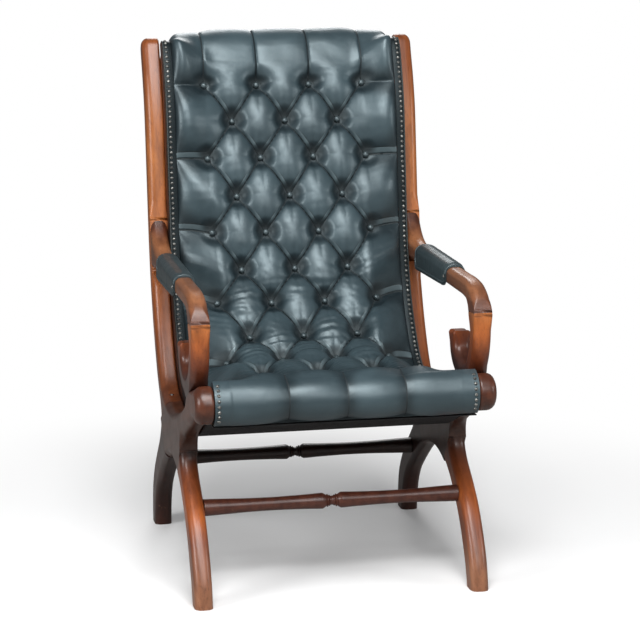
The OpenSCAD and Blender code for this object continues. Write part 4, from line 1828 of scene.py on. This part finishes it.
        def drive(name: str, node: str, places: np.ndarray, facing: np.ndarray) -> bpy.types.Object:
            """Makes one group of nails.

            Args:
                name: The piece's name.
                node: The node that it stands for.
                places: The nails' places.
                facing: Their heads' directions.

            Returns:
                The piece.
            """
            piece = self.studs.place(name, places, facing, dome, self.nail_size, self.metal, Slot.NAIL)
            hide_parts(node)
            return piece

        x = lines.inner_x - GAP - lines.board_t * 0.42
        fine = lines.side_at(np.linspace(self.band_top, lines.front_row, 1500), 0.0026)
        way = np.concatenate([[0], np.cumsum(np.linalg.norm(np.diff(fine, axis=0), axis=1))])
        at = np.arange(self.nail_pitch, way[-1], self.nail_pitch)
        line = np.stack([np.interp(at, way, fine[:, k]) for k in (0, 1)], axis=1)
        side = right_of(line)
        made = []
        for hand in Hand:
            places = np.column_stack([np.full(len(line), x * hand.value), line])
            facing = np.column_stack([np.zeros(len(line)), side])
            made.append(drive(f"edge_nails_{hand.word}", f"nails_{hand.word}", places, facing))
        turn = np.radians(115) + (np.arange(self.roll_nails) + 0.5) * self.nail_pitch / lines.roll_r
        facing = np.column_stack([np.zeros(self.roll_nails), np.cos(turn), np.sin(turn)])
        places = np.array([0.0, *lines.roll_mid]) + facing * lines.roll_r
        both = np.vstack([places + np.array([h.value * x, 0, 0]) for h in Hand])
        made.append(drive("front_roll_nails", "roll_nails", both, np.vstack([facing] * 2)))
        spots, heads = [], []
        for hand in Hand:
            low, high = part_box(f"arm_pad_{hand.word}")
            for at_x, way_x in ((low.x, -1.0), (high.x, 1.0)):
                spots.append((at_x - way_x * 0.0002, low.y + 0.0075, low.z + 0.023))
                heads.append((way_x, 0.0, 0.0))
        made.append(drive("pad_nails", "arm_pad_nails", np.array(spots), np.array(heads)))
        bpy.data.objects.remove(dome)
        return made

    def build(self) -> list[bpy.types.Object]:
        """Builds every piece of the upholstery's face.

        Returns:
            The pieces.
        """
        cushions = [self.back_cushion(), self.seat_cushion()]
        return [*cushions, self.buttons(), *self.edge_bands(), *self.nails()]


@dataclass
class Underside:
    """The webbing, the leather behind the back and the cloth under the seat.

    Attributes:
        lines: The side view.
        leather: The leather behind the back.
        webbing: The straps' cloth.
        cloth: The cloth under the seat.
        straps: Number of straps behind the back, and again under the seat.
        strap_w: Width of a strap.
        sheet_t: Thickness of straps and sheets.
        inset: Distance of straps and dust cloth from the side boards' rear edge, without the gap.
        rail_t: Thickness of the crest rail.
        panel_t: Thickness that the solids give the sheets.
    """

    lines: Lines
    leather: bpy.types.Material
    webbing: bpy.types.Material
    cloth: bpy.types.Material
    straps: int = 5
    strap_w: float = 0.05
    sheet_t: float = 0.0016
    inset: float = 0.0018
    rail_t: float = 0.022
    panel_t: float = 0.002

    def strap_profiles(self) -> list[np.ndarray]:
        """Gives the profile of each strap.

        Returns:
            Points of X and height for each of them.
        """
        half, t = self.strap_w / 2, self.sheet_t
        step = 2 * (self.lines.half - half) / self.straps
        mids = [(k - (self.straps - 1) / 2) * step for k in range(self.straps)]
        return [np.array([[m - half, 0.0], [m + half, 0.0], [m + half, t], [m - half, t]]) for m in mids]

    def roll_ends(self, drop: float, front: float) -> np.ndarray:
        """Gives the two points under the front rail, lowered by some distance.

        Args:
            drop: The distance.
            front: Place of the front one, as a share of the roll's radius.

        Returns:
            The points.
        """
        r, mid = self.lines.roll_r, self.lines.roll_mid
        z = mid[1] - 0.84 * r + GAP - drop
        return np.array([[mid[0] + 0.85 * r, z], [mid[0] - front * r, z]])

    def joined(self, name: str, path: np.ndarray, node: str) -> bpy.types.Object:
        """Builds a row of straps as one piece.

        Args:
            name: The piece's name.
            path: The straps' line in the side view.
            node: The node that they stand for.

        Returns:
            The piece.
        """
        made = bmesh.new()
        for profile in self.strap_profiles():
            part = swept(name, path, profile)
            made.from_mesh(part)
            bpy.data.meshes.remove(part)
        mesh = bpy.data.meshes.new(name)
        made.to_mesh(mesh)
        made.free()
        piece = new_piece(name, mesh, self.webbing)
        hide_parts(node)
        return piece

    def sheet(
        self,
        name: str,
        path: np.ndarray,
        node: str,
        finish: bpy.types.Material,
    ) -> bpy.types.Object:
        """Args:
            name: The piece's name.
            path: The sheet's line in the side view.
            node: The node that it stands for.
            finish: Its material.

        Returns:
            The piece.
        """
        half = self.lines.inner_x - GAP
        across = np.linspace(-half, half, 21)
        top = np.stack([across, np.full_like(across, self.sheet_t)], axis=1)
        low = np.stack([across[::-1], np.zeros_like(across)], axis=1)
        piece = new_piece(name, swept(name, path, np.vstack([top, low])), finish)
        soften(piece, 60)
        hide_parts(node)
        return piece

    def build(self) -> list[bpy.types.Object]:
        """Builds every piece behind and under the upholstery.

        Returns:
            The pieces.
        """
        lines, inset, third = self.lines, self.inset, 1 / 3
        top, seam, front = lines.top_row + third, lines.seam_row - third, lines.front_row
        behind = lines.beyond(np.linspace(top, seam - third, 90), -GAP - inset)
        under = lines.beyond(np.linspace(seam, front, 50), -GAP - inset)
        under = np.vstack([under, self.roll_ends(2 * GAP + inset, 0.1)])
        panel = lines.beyond(np.linspace(top, seam, 90), self.rail_t + GAP + self.panel_t)
        dust = lines.beyond(np.linspace(seam + third, front, 50), GAP + inset)
        dust = np.vstack([dust, self.roll_ends(4 * GAP + self.panel_t + inset, 0.48)])
        return [
            self.joined("back_straps", behind, "back_webbing"),
            self.joined("seat_straps", under, "seat_webbing"),
            self.sheet("outside_back", panel, "back_panel", self.leather),
            self.sheet("dust_cloth_sheet", dust, "dust_cover", self.cloth),
        ]


@dataclass
class ArmPads:
    """The padded leather on the arms, with its welts.

    Attributes:
        finish: The leather.
        arm_mid_z: Height of the arms' middle.
        arm_half: Half the arms' thickness with the gap, which is the same both ways.
        round_r: Radius of the pads' upper corners.
        inner_r: Radius of the arms' upper corners.
        welt_r: Radius of the welts.
        welt_in: Distance of the welts from the pads' edges.
        end_run: Length over which the pads swell at their ends.
        cut_run: Length over which their lower edge rises in front.
        outer_points: Number of points on the outside of a section.
    """

    finish: bpy.types.Material
    arm_mid_z: float = 0.583
    arm_half: float = 0.0183
    round_r: float = 0.017
    inner_r: float = 0.0122
    welt_r: float = 0.0021
    welt_in: float = 0.0055
    end_run: float = 0.02
    cut_run: float = 0.016
    outer_points: int = 25

    def section(self, low_z: float, top_z: float, half: float, swell: float) -> np.ndarray:
        """Gives the pad's closed section around the arm.

        Args:
            low_z: Height of its lower edges.
            top_z: Height of its crown.
            half: Half of its width.
            swell: Share of its full thickness, from 0 to 1.

        Returns:
            Points of X and height, of which the `outer_points` ones outside come first.
        """
        inner_top = self.arm_mid_z + self.arm_half
        full = 0.35 + 0.65 * swell
        wide = self.arm_half + (half - self.arm_half) * full
        top = inner_top + (top_z - inner_top) * full
        points = [(wide, low_z), (wide, (low_z + top) / 2), *self.corner(wide, top, self.round_r, 1)]
        points += [(wide * s, top + 0.0012 * swell * (1 - s * s)) for s in (0.12, 0.0, -0.12)]
        points += [*self.corner(wide, top, self.round_r, -1), (-wide, (low_z + top) / 2), (-wide, low_z)]
        points.append((-self.arm_half, low_z))
        points += self.corner(self.arm_half, inner_top, self.inner_r, -1)[::-1]
        points += self.corner(self.arm_half, inner_top, self.inner_r, 1)[::-1]
        return np.array([*points, (self.arm_half, low_z)])

    @staticmethod
    def corner(wide: float, top: float, r: float, side: int) -> list[tuple[float, float]]:
        """Gives a rounded upper corner of a section, running anticlockwise.

        Args:
            wide: Half of the section's width.
            top: Its height.
            r: The corner's radius.
            side: The corner's side, as the sign of X.

        Returns:
            The points of X and height.
        """
        turns = [math.radians(90 * k / 8) for k in range(9)]
        points = [(wide - r + r * math.cos(a), top - r + r * math.sin(a)) for a in turns]
        return points if side > 0 else [(-x, z) for x, z in reversed(points)]

    def ring(self, hand: Hand, t: float, raised: float = 0.0) -> np.ndarray:
        """Gives the pad's section at a share of its length from the front.

        Args:
            hand: The side of the chair.
            t: The share.
            raised: Distance of the section's ends above the pad's lower edge.

        Returns:
            The points in the row's frame.
        """
        low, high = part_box(f"arm_pad_{hand.word}")
        depth = high.y - low.y
        wave = 0.06 * math.sin(38 * t) + 0.04 * math.sin(91 * t + 1)
        swell = float(ease(min(t, 1 - t) * depth / self.end_run)) * (1 + wave * 0.5) - 0.03
        cut = max(1 - t * depth / self.cut_run, 0.0)
        low_z = low.z + 0.004 - 0.008 * t + 0.009 * cut**2 + raised
        section = self.section(low_z, high.z - 0.0012, (high.x - low.x) / 2, swell)
        x = (low.x + high.x) / 2 + section[:, 0]
        return np.column_stack([x, np.full(len(section), low.y + depth * t), section[:, 1]])

    def build(self) -> list[bpy.types.Object]:
        """Builds both pads and their welts.

        Returns:
            The pieces.
        """
        made = []
        for hand in Hand:
            rings = np.array([self.ring(hand, t) for t in np.linspace(0, 1, 72)])
            name = f"padded_arm_{hand.word}"
            mesh = ring_mesh(name, rings, evenly_worn(rings, 0.8))
            pad = new_piece(name, mesh, self.finish)
            soften(pad, 50)
            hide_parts(f"arm_pad_{hand.word}")
            made += [pad, self.welts(hand)]
        return made

    def welts(self, hand: Hand) -> bpy.types.Object:
        """Builds the welt that runs round a pad, a little inside its edges.

        Args:
            hand: The side of the chair.

        Returns:
            The piece.
        """
        low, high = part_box(f"arm_pad_{hand.word}")
        start = self.welt_in / (high.y - low.y)
        along = np.linspace(start, 1 - start, 30)
        outer = [self.ring(hand, t, self.welt_in)[: self.outer_points] for t in along]
        path = [*outer[0], *[ring[-1] for ring in outer[1:-1]]]
        path += [*outer[-1][::-1], *[ring[0] for ring in outer[-2:0:-1]]]
        mesh = tube(f"pad_welt_{hand.word}", np.array(path), self.welt_r)
        piece = new_piece(f"pad_welt_{hand.word}", mesh, self.finish)
        piece.data.shade_smooth()
        return piece


# Hidden frame and studio


def dress_hidden_frame(cover: bpy.types.Material) -> None:
    """Gives the carried-over solids of the hidden frame their finishes.

    Args:
        cover: The leather that wraps the crest rail, whose edge shows above the back panel.
    """
    wood = WoodFinish("plain_beech", BEECH_TONES, 90, 0.55).build()
    steel = MetalFinish("zinc_screws", (0.62, 0.62, 0.60), (0.26, 0.25, 0.24)).build()
    shown = WoodFinish("side_board_wood", SIDE_TONES, 75).build()
    finishes = {node: wood for node in ("lumbar_rail", "seat_front_rail")}
    finishes |= {"crest_rail": cover, "frame_dowels": shown, "board_screws": steel}
    finishes |= {f"{part}_side_board_{hand.word}": shown for part in ("back", "seat") for hand in Hand}
    for node, finish in finishes.items():
        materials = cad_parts[node].data.materials
        materials.clear()
        materials.append(finish)


@dataclass
class Studio:
    """The floor, the light and the camera at the photograph's angle.

    Attributes:
        shift: What is added to a place to the back, for the row's frame.
        camera_place: Place of the camera before that.
        azimuth: The camera's angle round the chair, in degrees.
        elevation: Its angle above the floor, in degrees.
        lens: Its focal length in millimetres.
        film_w: Width of its film in millimetres.
        floor_half: Half the floor's width.
        floor_lit: The floor's colour for the camera.
        floor_dim: The floor's colour for the light that it throws back.
        sky: Colour of the soft light from all sides.
        sky_strength: Strength of that light.
        aim: Where the lamps point.
        lamps: Name, place, width in metres and power in watts of each lamp.
    """

    shift: float
    camera_place: Place = (-0.8701, -4.2446, 1.3924)
    azimuth: float = -11.788
    elevation: float = 11.797
    lens: float = 124.2
    film_w: float = 36.0
    floor_half: float = 9.0
    floor_lit: Colour = (0.93, 0.93, 0.93)
    floor_dim: Colour = (0.34, 0.33, 0.32)
    sky: Colour = (0.96, 0.98, 1.0)
    sky_strength: float = 0.14
    aim: Place = (0, 0, 0.55)
    lamps: tuple = (
        ("top_front", (-0.4, -1.75, 2.95), 1.9, 92),
        ("front", (0.45, -2.9, 2.0), 1.4, 27),
        ("left", (-2.9, -1.2, 1.5), 1.3, 44),
        ("right", (2.8, -1.5, 1.3), 1.0, 18),
        ("behind", (0.4, 2.8, 2.2), 1.6, 30),
    )

    def floor(self) -> None:
        """Lays a pale floor that turns white away from the chair."""
        h = self.floor_half
        mesh = bpy.data.meshes.new("floor")
        mesh.from_pydata([(-h, -h, 0), (h, -h, 0), (h, h, 0), (-h, h, 0)], [], [(0, 1, 2, 3)])
        ground = bpy.data.objects.new("floor", mesh)
        bpy.context.scene.collection.objects.link(ground)
        s = Shader("pale_floor")
        place = s.place()
        far = s.value(s.add("ShaderNodeVectorMath", {"operation": "LENGTH"}, {0: place}), "Value")
        seen = s.value(s.add("ShaderNodeLightPath"), "Is Camera Ray")
        white = s.value(s.add("ShaderNodeEmission", None, {"Color": (1, 1, 1, 1), "Strength": 1.0}))
        plain = s.value(s.add("ShaderNodeBsdfDiffuse", None, {"Color": (*self.floor_lit, 1)}))
        dim = s.value(s.add("ShaderNodeBsdfDiffuse", None, {"Color": (*self.floor_dim, 1)}))
        lit = s.value(s.add("ShaderNodeMixShader", None, {0: seen, 1: dim, 2: plain}))
        faded = far.step(0.45, 1.3) * seen
        mixed = s.add("ShaderNodeMixShader", None, {0: faded, 1: lit, 2: white})
        s.tree.links.new(mixed.outputs[0], s.out.inputs["Surface"])
        mesh.materials.append(s.material)

    def world(self) -> None:
        """Makes a white background with an even soft light."""
        world = bpy.data.worlds.new("studio")
        world.use_nodes = True
        bpy.context.scene.world = world
        world.node_tree.nodes.clear()
        n = Nodes(world.node_tree)
        seen = n.value(n.add("ShaderNodeLightPath"), "Is Camera Ray")
        light = {"Color": (*self.sky, 1), "Strength": self.sky_strength}
        soft = n.value(n.add("ShaderNodeBackground", None, light))
        white = n.value(n.add("ShaderNodeBackground", None, {"Color": (1, 1, 1, 1)}))
        mixed = n.add("ShaderNodeMixShader", None, {0: seen, 1: soft, 2: white})
        n.add("ShaderNodeOutputWorld", None, {0: n.value(mixed)})

    def lamp(self, name: str, place: Place, size: float, power: float) -> None:
        """Hangs a soft round lamp that faces the chair.

        Args:
            name: The lamp's name.
            place: Where it hangs.
            size: Its width.
            power: Its power in watts.
        """
        data = bpy.data.lights.new(name, "AREA")
        data.shape, data.size, data.energy = "DISK", size, power
        lamp = bpy.data.objects.new(name, data)
        lamp.location = place
        lamp.rotation_mode = "QUATERNION"
        lamp.rotation_quaternion = (Vector(self.aim) - Vector(place)).to_track_quat("-Z", "Y")
        bpy.context.scene.collection.objects.link(lamp)

    def camera(self) -> None:
        """Places the camera."""
        data = bpy.data.cameras.new("camera")
        data.sensor_width, data.lens = self.film_w, self.lens
        camera = bpy.data.objects.new("camera", data)
        a, e = math.radians(self.azimuth), math.radians(self.elevation)
        back = Vector((math.sin(a) * math.cos(e), -math.cos(a) * math.cos(e), math.sin(e)))
        camera.location = Vector(self.camera_place) + Vector((0, self.shift, 0))
        camera.rotation_mode = "QUATERNION"
        camera.rotation_quaternion = (-back).to_track_quat("-Z", "Y")
        bpy.context.scene.collection.objects.link(camera)
        bpy.context.scene.camera = camera

    def build(self) -> None:
        """Sets up everything around the chair."""
        self.floor()
        self.world()
        for lamp in self.lamps:
            self.lamp(*lamp)
        self.camera()
        bpy.context.scene.view_settings.view_transform = "Standard"


def main() -> None:
    """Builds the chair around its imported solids."""
    lines = Lines()
    leather = LeatherFinish("dark_leather").build()
    plain = LeatherFinish(
        "plain_leather", base=(0.012, 0.019, 0.022), worn=(0.036, 0.050, 0.055), folded=False
    ).build()
    band = LeatherFinish(
        "band_leather", base=(0.004, 0.006, 0.007), worn=(0.013, 0.018, 0.020), shine=0.2, folded=False
    ).build()
    gimp = ClothFinish("edge_braid", (0.030, 0.036, 0.036), (0.085, 0.100, 0.100), 0.0014).build()
    metal = MetalFinish("aged_nails", (0.33, 0.33, 0.31), (0.035, 0.036, 0.036), 0.32).build()
    jute = ClothFinish("jute_webbing", (0.36, 0.27, 0.15), (0.50, 0.40, 0.26), 0.0022).build()
    black = ClothFinish("black_cloth", (0.010, 0.010, 0.011), (0.022, 0.022, 0.024), 0.0011).build()
    made = [
        *SideFrames().build(),
        *Stretchers().build(),
        *Upholstery(lines, leather, plain, band, gimp, metal, Studs()).build(),
        *Underside(lines, plain, jute, black).build(),
        *ArmPads(plain).build(),
    ]
    dress_hidden_frame(plain)
    for piece in made:
        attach(piece, "root")
        log.info("%s: %d faces", piece.name, len(piece.data.polygons))
    Studio(lines.shift).build()


if __name__ == "__main__":
    main()
